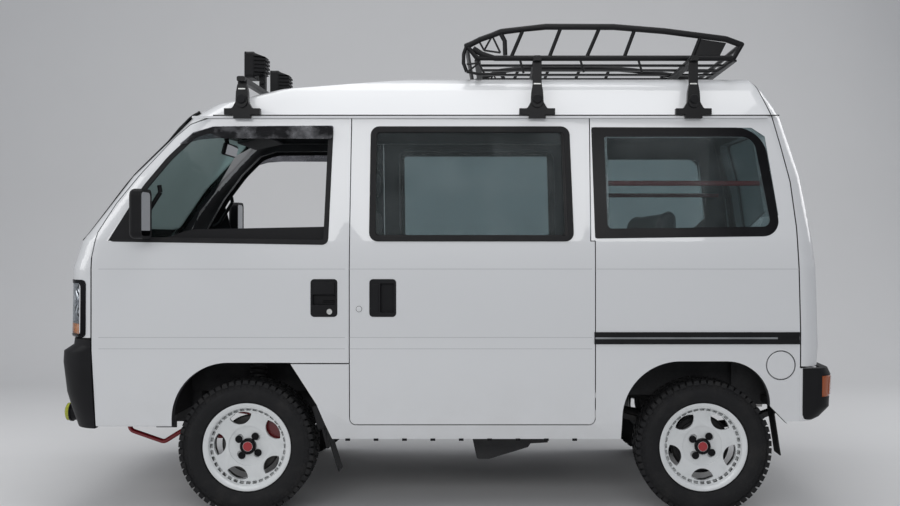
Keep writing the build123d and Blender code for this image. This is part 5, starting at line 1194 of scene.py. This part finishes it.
# Seat bases, side brackets, headrest posts with their collars, and a lever on each front seat.
def seatFrames():
    frames, posts, shells, lever = bmesh.new(), bmesh.new(), bmesh.new(), bmesh.new()
    for sign in (1, -1):
        y = seats["y"] * sign
        boxInto(frames, (fx - 0.135, y, seats["baseZ"]), (0.380, 0.376, 0.043), soft=0.010)
        boxInto(shells, (fx - 0.130, y, seats["shellZ"]), (0.400, 0.400, 0.014), soft=0.006)
        boxInto(lever, (fx - 0.300, sign * (seats["y"] + seats["leverOut"]), 0.800), (0.090, 0.010, 0.022),
                soft=0.004)
        for side in (1, -1):
            boxInto(frames, (fx - 0.332, y + side * seats["bracketOut"], 0.8200), (0.070, 0.006, 0.150),
                    soft=0.002)
            rodInto(frames, (fx - 0.322, y + side * 0.2050, 0.8400), (fx - 0.322, y + side * 0.2145, 0.8400),
                    0.016, segments=20)
            post = y + side * seats["postOut"]
            rodInto(posts, (fx - 0.392, post, 1.290), (fx - 0.396, post, 1.380), 0.0060)
            rodInto(shells, (fx - 0.3925, post, 1.300), (fx - 0.3935, post, 1.318), 0.0120, 0.0095, 20)
        for x in (rx + 0.190, rx + 0.215):
            boxInto(frames, (x, sign * seats["benchBracket"], 0.815), (0.060, 0.006, 0.120), soft=0.002)
    boxInto(frames, (rx + 0.300, 0.0, 0.6900), (0.160, 0.960, 0.062), soft=0.012)
    addPiece("seatFrames", frames, "body", "cast")
    addPiece("headrestPosts", posts, "body", "steel")
    addPiece("seatShells", shells, "body", "trim")
    addPiece("seatLevers", lever, "body", "black_plastic")


makeFrontSeats()
makeBench()
seatFrames()
print("seats ready")


dash = {"vents": [(-0.505, 0.095), (-0.085, 0.105), (0.085, 0.105), (0.505, 0.095)], "ventZ": 1.030,
        "hubX": 0.250, "hubZ": 0.960, "tilt": radians(58.0), "rim": 0.180, "tube": 0.013,
        "rimUp": 0.045, "spokes": (90.0, 210.0, 330.0), "padRadii": (0.046, 0.062), "padDeep": 0.034,
        "driverY": -0.335, "gloveY": 0.335, "dialZ": 1.074, "heaterZ": 0.922, "lookFrom": 0.9}


# The dashboard's mouldings over a dressed copy of its solid.
def makeDashboard():
    dress("dashboard", 0.014, "trim", 25.0, 4)
    face = skinOf("dashboard")

    def onFace(y, z):
        return face.ray_cast(Vector((dash["lookFrom"], y, z)), Vector((1.0, 0.0, 0.0)))[0]

    bezels, slats, screens = bmesh.new(), bmesh.new(), bmesh.new()
    for y, wide in dash["vents"]:
        hit = onFace(y, dash["ventZ"])
        if not hit:
            continue
        lean = Matrix.Rotation(radians(-28.0), 3, "Y")
        x = hit.x - 0.002
        for sign in (1, -1):
            dz, dy = sign * 0.026, sign * (wide / 2 - 0.004)
            boxInto(bezels, (x + dz * 0.53, y, dash["ventZ"] + dz), (0.010, wide, 0.008), lean, 0.002)
            boxInto(bezels, (x, y + dy, dash["ventZ"]), (0.010, 0.008, 0.056), lean, 0.002)
        for index in range(4):
            dz = -0.0165 + index * 0.011
            boxInto(slats, (x + 0.002 + dz * 0.53, y, dash["ventZ"] + dz), (0.009, wide - 0.014, 0.0028),
                    lean, 0.0006)
    addPiece("ventBezels", bezels, "body", "black_plastic")
    addPiece("ventSlats", slats, "body", "black_plastic", "glossBlack")
    y, z = dash["driverY"], dash["dialZ"]
    hood = onFace(y, z + 0.001)
    boxInto(screens, (hood.x - 0.002, y, z), (0.006, 0.250, 0.052), soft=0.003)
    addPiece("instrumentPane", screens, "body", "black_plastic", "glossBlack")
    dials, marks = bmesh.new(), bmesh.new()
    for dy, radius in ((-0.068, 0.024), (0.0, 0.0245), (0.070, 0.021)):
        turnAlong(dials, [(hood.x - 0.0052, radius), (hood.x - 0.0066, radius),
                          (hood.x - 0.0066, radius - 0.0016),
                          (hood.x - 0.0052, radius - 0.0016)], y + dy, z, 40, closed=True)
        for index in range(9):
            turn = radians(-120 + index * 30)
            boxInto(marks, (hood.x - 0.0058, y + dy + sin(turn) * (radius - 0.005),
                            z + cos(turn) * (radius - 0.005)),
                    (0.0010, 0.0012, 0.0040), Matrix.Rotation(-turn, 3, "X"))
    addPiece("dialRings", dials, "body", "steel", "zinc")
    addPiece("dialMarks", marks, "body", "wheel_white", "greyTrim")
    panel = bmesh.new()
    centre = onFace(0.0, dash["heaterZ"] + 0.008)
    if centre:
        boxInto(panel, (centre.x - 0.002, 0.0, 0.925), (0.012, 0.190, 0.075),
                Matrix.Rotation(radians(14), 3, "Y"), 0.004)
        for index in range(3):
            turnAlong(panel, [(centre.x - 0.007, 0.0), (centre.x - 0.007, 0.014), (centre.x - 0.020, 0.012),
                              (centre.x - 0.021, 0.0)], -0.060 + index * 0.060, dash["heaterZ"], 28)
    addPiece("heaterPanel", panel, "body", "black_plastic")
    box = bmesh.new()
    side = onFace(dash["gloveY"], 0.900)
    lean = Matrix.Rotation(radians(16), 3, "Y")
    if side:
        boxInto(box, (side.x - 0.001, dash["gloveY"], 0.895), (0.006, 0.330, 0.105), lean, 0.003)
        boxInto(box, (side.x - 0.006, dash["gloveY"], 0.932), (0.010, 0.060, 0.014), lean, 0.003)
    addPiece("gloveBox", box, "body", "trim", "greyTrim")
    column = bmesh.new()
    hub = Vector((fx + dash["hubX"], dash["driverY"], dash["hubZ"]))
    down = Vector((cos(dash["tilt"]), 0.0, -sin(dash["tilt"])))
    rodInto(column, hub + down * 0.020, hub + down * 0.200, 0.040, 0.034, 28)
    softenEdges(column, 0.006, 40.0)
    stalk = bmesh.new()
    for sign in (1, -1):
        start = hub + down * 0.050
        rodInto(stalk, start, start + Vector((0.010, sign * 0.150, 0.020)), 0.0060, 0.0085, 16)
    addPiece("columnShroud", column, "body", "trim")
    addPiece("columnStalks", stalk, "body", "black_plastic")


# Steering wheel: a grained rim, three spokes and a soft pad, turning about its column.
def makeSteeringWheel():
    bm = bmesh.new()
    rim, tube = dash["rim"], dash["tube"]
    grip = []
    for index in range(12):
        turn = 2 * pi * index / 12
        grip.append(bm.verts.new((rim + tube * cos(turn), 0.0, dash["rimUp"] + tube * sin(turn))))
    edges = [bm.edges.new((grip[index], grip[(index + 1) % 12])) for index in range(12)]
    bmesh.ops.spin(bm, geom=grip + edges, cent=(0, 0, 0), axis=(0, 0, 1), angle=2 * pi, steps=96,
                   use_merge=True)
    bmesh.ops.remove_doubles(bm, verts=bm.verts, dist=1e-5)
    for degrees in dash["spokes"]:
        turn = radians(degrees)
        out = Vector((cos(turn), sin(turn), 0.0))
        rodInto(bm, out * 0.030 + Vector((0, 0, 0.020)), out * (rim - 0.004) + Vector((0, 0, 0.044)), 0.0150,
                0.0095, 18)
    pad = bmesh.ops.create_cone(bm, cap_ends=True, segments=40, radius1=dash["padRadii"][0],
                                radius2=dash["padRadii"][1], depth=dash["padDeep"],
                                matrix=Matrix.Translation((0, 0, 0.022)))["verts"]
    caps = list({edge for vert in pad for edge in vert.link_edges if edge.calc_face_angle(0.0) > radians(40)})
    roundOff(bm, caps, 0.008, 4)
    bmesh.ops.recalc_face_normals(bm, faces=bm.faces)
    axis = Vector((-cos(dash["tilt"]), 0.0, sin(dash["tilt"])))
    across = Vector((0.0, 1.0, 0.0))
    up = axis.cross(across)
    turn = Matrix((across, up, axis)).transposed().to_4x4()
    bm.transform(Matrix.Translation((fx + dash["hubX"], dash["driverY"], dash["hubZ"])) @ turn)
    piece = addPiece("steeringGrip", bm, bodyOf["steering_wheel"], "trim", "rubber")
    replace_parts(piece, "steering_wheel")


makeDashboard()
makeSteeringWheel()
print("dashboard ready")


# A thin plate wrapped on a skin seen along X: points are (y, z), stand-off out from the skin.
def onEnd(name, points, skin, sign, body, slot, finish, depth, offset, inner=None, radius=0.010,
          innerRadius=0.010, step=0.06):
    bm = bmesh.new()
    if inner:
        ringFace(bm, points, inner, radius, innerRadius)
    else:
        flatFace(bm, points, radius)
    cutEvery(bm, step, 0)
    cutEvery(bm, step, 2)
    grown = bmesh.ops.extrude_face_region(bm, geom=list(bm.faces))
    tops = [item for item in grown["geom"] if isinstance(item, bmesh.types.BMVert)]
    for vert in bm.verts:
        vert.co = Vector((offset, vert.co.x, vert.co.z))
    bmesh.ops.translate(bm, verts=tops, vec=(depth, 0.0, 0.0))
    layOn(bm, skin, 0, sign)
    bmesh.ops.recalc_face_normals(bm, faces=bm.faces)
    return addPiece(name, bm, body, slot, finish)


def slab(y0, y1, z0, z1):
    return [(y0, z0), (y0, z1), (y1, z1), (y1, z0)]


def screenLine(half0, z0, half1, z1):
    return [(-half0, z0), (-half1, z1), (half1, z1), (half0, z0)]


noseSkin = skinOf("front_panel", "windscreen")
tailSkin = skinOf("tailgate", "tailgate_glass")

onEnd("screenSeal", screenLine(0.6300, 1.1400, 0.5710, 1.6980), noseSkin, 1, "body", "rubber", None, 0.0050,
      -0.0015, screenLine(0.6030, 1.1660, 0.5440, 1.6720), 0.050, 0.034)
onEnd("screenFrit", screenLine(0.6060, 1.1630, 0.5470, 1.6750), noseSkin, 1, "body", "black_plastic",
      "glossBlack", 0.0012, -0.0001, screenLine(0.5820, 1.1980, 0.5240, 1.6520), 0.034, 0.030)
onEnd("tailSeal", screenLine(0.5560, 1.1700, 0.5030, 1.6600), tailSkin, -1, "tailgate_body", "rubber", None,
      0.0050, -0.0015, screenLine(0.5300, 1.1950, 0.4780, 1.6350), 0.060, 0.042)

scuttle = {"bars": 12, "first": -0.46, "pitch": 0.0836, "half": 0.014, "foot": 1.0760, "head": 1.0940}

# Between the headlamps: a black panel, and a row of slots in the scuttle over it.
onEnd("noseGarnish", slab(-0.3360, 0.3360, 0.7450, 0.8050), noseSkin, 1, "body", "black_plastic", None,
      0.0040, -0.0010, radius=0.006)
onEnd("scuttleGrille", slab(-0.5000, 0.5000, 1.0700, 1.1000), noseSkin, 1, "body", "black_plastic", None,
      0.0030, -0.0010, radius=0.006)
for index in range(scuttle["bars"]):
    y = scuttle["first"] + index * scuttle["pitch"]
    onEnd("scuttleBar%02d" % index, slab(y - scuttle["half"], y + scuttle["half"], scuttle["foot"],
                                         scuttle["head"]),
          noseSkin, 1, "body", "trim", "glossBlack", 0.0014, 0.0020, radius=0.004)


# A wiper: spindle, arm, bridge and blade laid on the glass.
def makeWiper(name, pivot, tip, blade, skin, sign, body, park):
    def onGlass(y, z, off):
        hit = skin.ray_cast(Vector((3.0 * sign, y, z)), Vector((-sign, 0.0, 0.0)))[0]
        return Vector((hit.x + sign * off, y, z))
    arm, rubber = bmesh.new(), bmesh.new()
    start, end = onGlass(*pivot, 0.0170), onGlass(*tip, 0.0190)
    rodInto(arm, onGlass(*pivot, 0.0), start + Vector((sign * 0.006, 0, 0)), 0.0120, 0.0100, 24)
    knee = start.lerp(end, 0.30)
    rodInto(arm, start, knee, 0.0085, 0.0062, 12)
    rodInto(arm, knee, end, 0.0048, 0.0036, 12)
    across = Vector((0.0, cos(park), sin(park)))
    ends = [(tip[0] + across.y * reach, tip[1] + across.z * reach) for reach in (-blade, -blade / 2, 0.0,
                                                                                 blade / 2, blade)]
    spine = [onGlass(y, z, 0.0130) for y, z in ends]
    edge = [onGlass(y, z, 0.0045) for y, z in ends]
    for first, second in zip(spine, spine[1:]):
        rodInto(arm, first, second, 0.0034, segments=10)
    for first, second in zip(edge, edge[1:]):
        rodInto(rubber, first, second, 0.0036, segments=10)
    for index in (0, 1, 3, 4):
        rodInto(arm, edge[index], spine[index], 0.0030, segments=8)
    rodInto(arm, end, spine[2], 0.0042, segments=10)
    addPiece(name + "Arm", arm, body, "black_plastic")
    addPiece(name + "Blade", rubber, body, "rubber")


# name, pivot (y, z), tip (y, z), half blade, skin, end, body, lean when parked
wipers = (
    ("wiperRight", (0.360, 1.118), (0.105, 1.196), 0.210, noseSkin, 1, "body", radians(-6)),
    ("wiperLeft", (-0.190, 1.118), (-0.390, 1.190), 0.180, noseSkin, 1, "body", radians(-5)),
    ("rearWiper", (0.000, 1.150), (-0.230, 1.212), 0.170, tailSkin, -1, "tailgate_body", radians(-4)),
)
for wiper in wipers:
    makeWiper(*wiper)

# Tailgate: a pull handle with its cup, over a lock.
onEnd("tailHandle", slab(-0.0900, 0.0900, 0.8150, 0.8600), tailSkin, -1, "tailgate_body", "black_plastic",
      None, 0.0120, -0.0010, radius=0.012)
onEnd("tailHandleCup", slab(-0.0720, 0.0720, 0.8230, 0.8470), tailSkin, -1, "tailgate_body", "trim",
      "glossBlack", 0.0010, 0.0112, radius=0.008)
tailLockZ = 0.775
lock = bmesh.new()
spot = tailSkin.ray_cast(Vector((-3.0, 0.0, tailLockZ)), Vector((1.0, 0.0, 0.0)))[0]
turnAlong(lock, [(spot.x + 0.002, 0.0), (spot.x + 0.002, 0.0150), (spot.x - 0.0030, 0.0140),
                 (spot.x - 0.0034, 0.0)],
          0.0, tailLockZ, 28)
addPiece("tailLock", lock, "tailgate_body", "steel", "zinc")

# Rear lamps: red, clear and amber windows.
rearLens = {"z": (0.4990, 0.5730), "windows": (("Red", 0.5080, 0.5900, "redLens"),
                                               ("Clear", 0.5940, 0.6160, "clearCover"),
                                               ("Amber", 0.6200, 0.6660, "rearAmber"))}
lampSkin = skinOf("rear_lamps", "rear_bumper")
for side in (1, -1):
    for label, yA, yB, finish in rearLens["windows"]:
        low, high = sorted((yA * side, yB * side))
        onEnd("rearLens" + label + ("Left" if side > 0 else "Right"), slab(low, high, *rearLens["z"]),
              lampSkin, -1, "body", "lamp_rear", finish, 0.0030, 0.0006, radius=0.006, step=0.02)


# Steps pressed into the sides: a fine strip of painted shade marks the groove under the windows and two lower
# ones.
crease = {"levels": (1.0230, 0.7400, 0.6930), "width": 0.0022}


def pressedLine(name, x0, x1, z, body):
    foot, head = z - crease["width"] / 2, z + crease["width"] / 2
    sideTrim(name, [(x0, foot), (x0, head), (x1, head), (x1, foot)], body, "body_paint", "seamShade", 0.0,
             0.0009, -0.0006, soft=0.0)


for z in crease["levels"]:
    pressedLine("doorCrease%d" % (z * 1000), fx - 0.4120, fx + 0.6080, z, doorBody)
    pressedLine("slideCrease%d" % (z * 1000), rx + 0.4650, fx - 0.4290, z, "body")
pressedLine("quarterCrease", rx - 0.3900, rx + 0.4450, crease["levels"][0], "body")

# Soft strip that closes the gutter, and the clips along the sill.
sideTrim("gutterStrip", [(fx + 0.155, 1.6660), (fx + 0.155, 1.6710), (rx - 0.330, 1.6710),
                         (rx - 0.330, 1.6660)], "body",
         "rubber", None, 0.0, 0.0030, -0.0010, soft=0.0)
sillClip = {"count": 9, "first": 0.42, "pitch": 0.118, "in": 0.0225, "z": 0.3130,
            "size": (0.020, 0.006, 0.010)}
clips = bmesh.new()
for index in range(sillClip["count"]):
    for sign in (1, -1):
        boxInto(clips, (fx - sillClip["first"] - sillClip["pitch"] * index,
                        sign * (van["halfWidth"] - sillClip["in"]),
                        sillClip["z"]), sillClip["size"], soft=0.0015)
addPiece("sillClips", clips, "body", "black_plastic")


# Slats in the front bumper's slot.
slat = {"levels": (0.540, 0.560, 0.580), "in": 0.030, "size": (0.014, 0.620, 0.0040), "lean": radians(-18)}
slats = bmesh.new()
for z in slat["levels"]:
    boxInto(slats, (noseX(0, 0.6) - slat["in"], 0.0, z), slat["size"], Matrix.Rotation(slat["lean"], 3, "Y"),
            0.001)
addPiece("bumperSlats", slats, "body", "black_plastic", "glossBlack")


cabin = {"mirrorLean": radians(-14), "visorLean": radians(12), "visor": (0.150, 0.370, 0.014),
         "gripIn": 0.075,
         "grip": [(0.485, 1.215), (0.455, 1.235), (0.385, 1.345), (0.390, 1.375)]}


# Inside the glass: mirror, sun visors on their rods, and grab handles.
def cabinDetails():
    bm, visors, pane = bmesh.new(), bmesh.new(), bmesh.new()
    lean = Matrix.Rotation(cabin["mirrorLean"], 3, "Y")
    boxInto(bm, (fx + 0.245, 0.0, 1.575), (0.020, 0.215, 0.060), lean, 0.009)
    rodInto(bm, (fx + 0.255, 0.0, 1.590), (fx + 0.262, 0.0, 1.640), 0.0085, 0.0120, 20)
    boxInto(pane, (fx + 0.2345, 0.0, 1.5722), (0.0014, 0.200, 0.047), lean, 0.0006)
    for sign in (1, -1):
        boxInto(visors, (fx + 0.165, sign * 0.300, 1.638), cabin["visor"],
                Matrix.Rotation(cabin["visorLean"], 3, "Y"),
                0.006)
        rodInto(bm, (fx + 0.235, sign * 0.100, 1.648), (fx + 0.235, sign * 0.500, 1.648), 0.0042)
        grip = ahead(cabin["grip"], fx)
        y = sign * (sideY(1.30) - cabin["gripIn"])
        for (x0, z0), (x1, z1) in zip(grip, grip[1:]):
            rodInto(bm, (x0, y, z0), (x1, y, z1), 0.0095, segments=14)
    addPiece("cabinFittings", bm, "body", "black_plastic")
    addPiece("cabinMirrorPane", pane, "body", "steel", "mirrorGlass")
    addPiece("sunVisors", visors, "body", "trim", "headlining")


cabinDetails()

rack = {                           # metres; lines are (x ahead of the rear axle, z)
        "y": 0.520, "topRadius": (0.0085, 0.0120), "drop": 0.0045, "lowZ": 1.926, "front": 0.9435,
        "rear": -0.1605,
        "top": [(0.9915, 1.981), (0.930, 2.012), (0.8425, 2.043), (0.745, 2.056), (0.6485, 2.065),
                (0.3575, 2.064), (0.1385, 2.046), (-0.1255, 2.012), (-0.1955, 1.986)],
        "feet": (fx + 0.0255, rx + 0.691, rx + 0.0365), "knobZ": 1.732, "clipZ": (1.797, 1.775)}


# A flattened tube along side-view points: taller than wide.
def flatRail(bm, points, y, wide, tall, segments=14):
    rings = []
    for index, (x, z) in enumerate(points):
        before, after = points[max(index - 1, 0)], points[min(index + 1, len(points) - 1)]
        run = Vector((after[0] - before[0], 0.0, after[1] - before[1])).normalized()
        up = Vector((-run.z, 0.0, run.x))
        rings.append([bm.verts.new(Vector((x, y, z)) + up * tall * sin(2 * pi * step / segments)
                                   + Vector((0.0, wide * cos(2 * pi * step / segments),
                                             0.0))) for step in range(segments)])
    for first, second in zip(rings, rings[1:]):
        for step in range(segments):
            bm.faces.new((first[step], first[(step + 1) % segments], second[(step + 1) % segments],
                          second[step]))
    bm.faces.new(rings[0])
    bm.faces.new(list(reversed(rings[-1])))


# Bars that tie side-view points together, in a plane at y.
def truss(bm, y, radius, *runs):
    for run in runs:
        for (x0, z0), (x1, z1) in zip(run, run[1:]):
            rodInto(bm, (x0, y, z0), (x1, y, z1), radius, segments=10)


def makeRack():
    rails, noses, plates = bmesh.new(), bmesh.new(), bmesh.new()
    wide, tall = rack["topRadius"]
    for sign in (1, -1):
        y = sign * rack["y"]
        flatRail(rails, [(rx + x, z - rack["drop"]) for x, z in rack["top"]], y, wide + 0.003, tall)
        low = [(rx + rack["rear"], rack["lowZ"]), (rx + 0.870, rack["lowZ"]), (rx + 0.925, 1.944),
               (rx + 0.962, 1.968)]
        flatRail(rails, low, y, wide + 0.003, tall)
        edge = [(0.9915, 1.975), (1.003, 1.945), (1.004, 1.905), (0.990, 1.868)]
        flatRail(noses, ahead(edge, rx), y, 0.009, 0.008)
        flatRail(noses, ahead([(0.990, 1.868), (0.940, 1.858), (0.820, 1.858)], rx), y, 0.008, 0.006)
        truss(noses, y, 0.0042, ahead([(0.975, 1.955), (0.938, 1.905), (0.990, 1.900)], rx),
              ahead([(0.938, 1.905), (0.985, 1.868)], rx), ahead([(0.938, 1.905), (0.915, 1.862)], rx),
              ahead([(0.940, 2.006), (0.915, 1.960), (0.880, 2.022)], rx),
              ahead([(0.880, 2.022), (0.845, 1.950)], rx),
              ahead([(0.915, 1.960), (0.845, 1.950)], rx))
        flatRail(noses, ahead([(0.842, 2.030), (0.826, 2.000), (0.824, 1.940)], rx), y, 0.008, 0.010)
        truss(noses, y, 0.0050, ahead([(0.820, 1.895), (-0.090, 1.895)], rx),
              ahead([(0.760, 1.918), (0.745, 1.862)], rx),
              ahead([(0.500, 1.918), (0.485, 1.866)], rx), ahead([(0.250, 1.918), (0.235, 1.866)], rx),
              ahead([(-0.1605, 1.920), (-0.090, 1.872), (0.030, 1.866)], rx))
        plate = flatFace(plates, ahead([(0.022, 1.932), (-0.006, 2.010), (-0.128, 1.992), (-0.098, 1.932)],
                                       rx))
        bmesh.ops.translate(plates, verts=plate.verts, vec=(0.0, y - 0.003, 0.0))
    thicken(plates, 0.006)
    softenEdges(plates, 0.0012, 40.0)
    for name, bm in (("rackRails", rails), ("rackNoses", noses), ("rackPlates", plates)):
        bmesh.ops.recalc_face_normals(bm, faces=bm.faces)
        addPiece(name, bm, "body", "rack_black")


# Knobs and bright clips on the roof bars' feet.
def footDetails():
    side = skinOf("roof_bars")
    knobs, clips = bmesh.new(), bmesh.new()
    for x in rack["feet"]:
        for sign in (1, -1):
            for z, bm in ((rack["knobZ"], knobs), (rack["clipZ"][x > fx], clips)):
                hit = side.ray_cast(Vector((x, sign * 2.0, z)), Vector((0.0, -sign, 0.0)))[0]
                if not hit:
                    continue
                out = hit.y * sign
                part = bmesh.new()
                if bm is knobs:
                    turnInto(part, [(out - 0.004, 0.0), (out - 0.004, 0.0195), (out + 0.0060, 0.0195),
                                    (out + 0.0085, 0.0165), (out + 0.0085, 0.0)], x, z, 28, closed=False)
                else:
                    boxInto(part, (x, out + 0.0004, z), (0.030, 0.0040, 0.0065), soft=0.0012)
                if sign < 0:
                    mirrorToRight(part)
                pourInto(bm, part)
    addPiece("footKnobs", knobs, "body", "black_plastic")
    addPiece("footClips", clips, "body", "steel", "zinc")


spotLamp = {"x": 0.0905, "y": 0.263, "z": 1.933, "rim": 0.0080, "wide": 0.124, "tall": 0.108, "up": 0.0540,
            "out": 0.0610, "boltX": 0.0255, "boltZ": 1.858}


# Driving lamps: a clear lens in a bezel, and a wing knob on each side of the bracket.
def drivingLampDetails():
    lenses, bezels, bowls = bmesh.new(), bmesh.new(), bmesh.new()
    x, z, rim = fx + spotLamp["x"], spotLamp["z"], spotLamp["rim"]
    for sign in (1, -1):
        y = sign * spotLamp["y"]
        boxInto(lenses, (x + 0.0010, y, z), (0.0060, 0.112, 0.098), soft=0.0028)
        boxInto(bowls, (x - 0.0015, y, z), (0.0030, 0.116, 0.102), soft=0.0010)
        for side in (1, -1):
            boxInto(bezels, (x + 0.0008, y, z + side * spotLamp["up"]), (rim, spotLamp["wide"], rim),
                    soft=0.0018)
            boxInto(bezels, (x + 0.0008, y + side * spotLamp["out"], z), (rim, rim, spotLamp["tall"]),
                    soft=0.0018)
            near, far = (Vector((fx + spotLamp["boltX"], y + side * out,
                                 spotLamp["boltZ"])) for out in (0.018, 0.034))
            rodInto(bezels, near, far, 0.0105, 0.0090, 18)
    addPiece("spotLenses", lenses, "body", "lamp_clear", "clearCover")
    addPiece("spotBowls", bowls, "body", "steel", "reflector")
    addPiece("spotBezels", bezels, "body", "black_plastic")


flapWedge = {                      # blocks: x, y, z, size, rounding
    "lean": radians(14),
    "blocks": ((0.5050, 0.640, 0.4080, (0.034, 0.096, 0.100), 0.006),
               (0.4820, 0.636, 0.3350, (0.012, 0.096, 0.120), 0.004)),
}
wingPanels = (                     # x, y, z, size, rounding
    (rx - 0.2350, 0.5120, 0.5250, (0.1700, 0.0060, 0.1800), 0.002),
    (rx - 0.3000, 0.5950, 0.4650, (0.0500, 0.1600, 0.0320), 0.004),
    (fx + 0.3850, 0.5120, 0.4100, (0.0900, 0.0060, 0.1500), 0.002),
)


# Rubber wedges between each front flap and the body, and the inner wing panels.
def flapBrackets():
    bm = bmesh.new()
    lean = Matrix.Rotation(flapWedge["lean"], 3, "Y")
    for sign in (1, -1):
        for x, y, z, size, soft in flapWedge["blocks"]:
            boxInto(bm, (x, sign * y, z), size, lean, soft)
    addPiece("flapBrackets", bm, "body", "rubber")
    # inner wing panels ahead of and behind the wheels
    inner = bmesh.new()
    for sign in (1, -1):
        for x, y, z, size, soft in wingPanels:
            boxInto(inner, (x, sign * y, z), size, soft=soft)
    addPiece("innerWings", inner, "body", "cast", "underseal")


makeRack()
footDetails()
drivingLampDetails()
flapBrackets()
print("outside details ready")


studio = {
    "floor": 0.58, "seen": 0.80, "world": 0.34,
    "reach": 9.0, "flat": 3.2, "bend": 1.6, "tall": 7.5,
}
lamps = (                          # name, power, place, target, width, height
    ("overheadBox", 84.0, (0.3, 0.6, 4.6), (0.0, 0.0, 0.9), 5.0, 2.6),
    ("frontBox", 92.0, (0.6, 6.5, 3.2), (0.0, 0.0, 0.9), 6.0, 1.6),
    ("noseBox", 46.0, (5.2, 1.8, 2.6), (0.6, 0.0, 1.0), 2.0, 3.0),
    ("tailBox", 50.0, (-5.0, -1.4, 3.2), (-0.6, 0.0, 1.0), 2.4, 3.0),
)


# A floor that curves up into a backdrop; its paleness is only for the camera's and mirrors' rays.
def makeStage():
    recipe = Recipe("studioPaper")
    path = recipe.add("ShaderNodeLightPath")
    rays = recipe.math("MAXIMUM", path, Wire(recipe, path.socket.node.outputs["Is Glossy Ray"]))
    rays = recipe.math("MAXIMUM", rays, Wire(recipe, path.socket.node.outputs["Is Transmission Ray"]))
    speck = recipe.noise(3.0, 3.0)
    paper = recipe.tint(speck, (studio["floor"],) * 3, (studio["floor"] + 0.02,) * 3)
    seen = recipe.tint(speck, (studio["seen"],) * 3, (studio["seen"] + 0.02,) * 3)
    recipe.set(BaseColor=recipe.tint(rays, paper, seen), Roughness=0.85, SpecularIORLevel=0.15)
    bm = bmesh.new()
    reach, flat, bend = studio["reach"], studio["flat"], studio["bend"]
    profile = [(-reach, 0.0), (flat, 0.0)]
    for step in range(1, 9):
        turn = radians(90 * step / 8)
        profile.append((flat + bend * sin(turn), bend - bend * cos(turn)))
    profile.append((flat + bend, studio["tall"]))
    verts = [bm.verts.new((-reach, -back, height)) for back, height in profile]
    edges = [bm.edges.new(pair) for pair in zip(verts, verts[1:])]
    wide = bmesh.ops.extrude_edge_only(bm, edges=edges)
    bmesh.ops.translate(bm, verts=[v for v in wide["geom"] if isinstance(v, bmesh.types.BMVert)],
                        vec=(2 * reach, 0, 0))
    bmesh.ops.recalc_face_normals(bm, faces=bm.faces)
    mesh = bpy.data.meshes.new("studioFloor")
    bm.to_mesh(mesh)
    bm.free()
    mesh.shade_smooth()
    mesh.materials.append(recipe.material)
    floor = bpy.data.objects.new("studioFloor", mesh)
    scene.collection.objects.link(floor)


def addLamp(name, power, place, target, width, height):
    lamp = bpy.data.lights.new(name, "AREA")
    lamp.shape = "RECTANGLE"
    lamp.size = width
    lamp.size_y = height
    lamp.energy = power
    holder = bpy.data.objects.new(name, lamp)
    holder.location = place
    holder.rotation_euler = (Vector(target) - Vector(place)).to_track_quat("-Z", "Y").to_euler()
    scene.collection.objects.link(holder)


cameraView = {"x": -0.2425, "distance": 5.0, "z": 1.143, "lens": 41.6, "shiftX": -0.0544, "shiftY": -0.0144}


def makeCamera():
    camera = bpy.data.cameras.new("viewCamera")
    camera.lens = cameraView["lens"]
    camera.sensor_width = 36.0
    camera.shift_x = cameraView["shiftX"]
    camera.shift_y = cameraView["shiftY"]
    holder = bpy.data.objects.new("viewCamera", camera)
    holder.location = (cameraView["x"], cameraView["distance"], cameraView["z"])
    holder.rotation_euler = (pi / 2, 0.0, pi)
    scene.collection.objects.link(holder)
    scene.camera = holder


makeStage()
world = bpy.data.worlds.new("studioSky")
world.use_nodes = True
world.node_tree.nodes["Background"].inputs["Color"].default_value = (0.9, 0.93, 1.0, 1.0)
world.node_tree.nodes["Background"].inputs["Strength"].default_value = studio["world"]
scene.world = world
for name, power, place, target, width, height in lamps:
    addLamp(name, power, place, target, width, height)
makeCamera()
scene.view_settings.view_transform = "Standard"
print("studio ready")
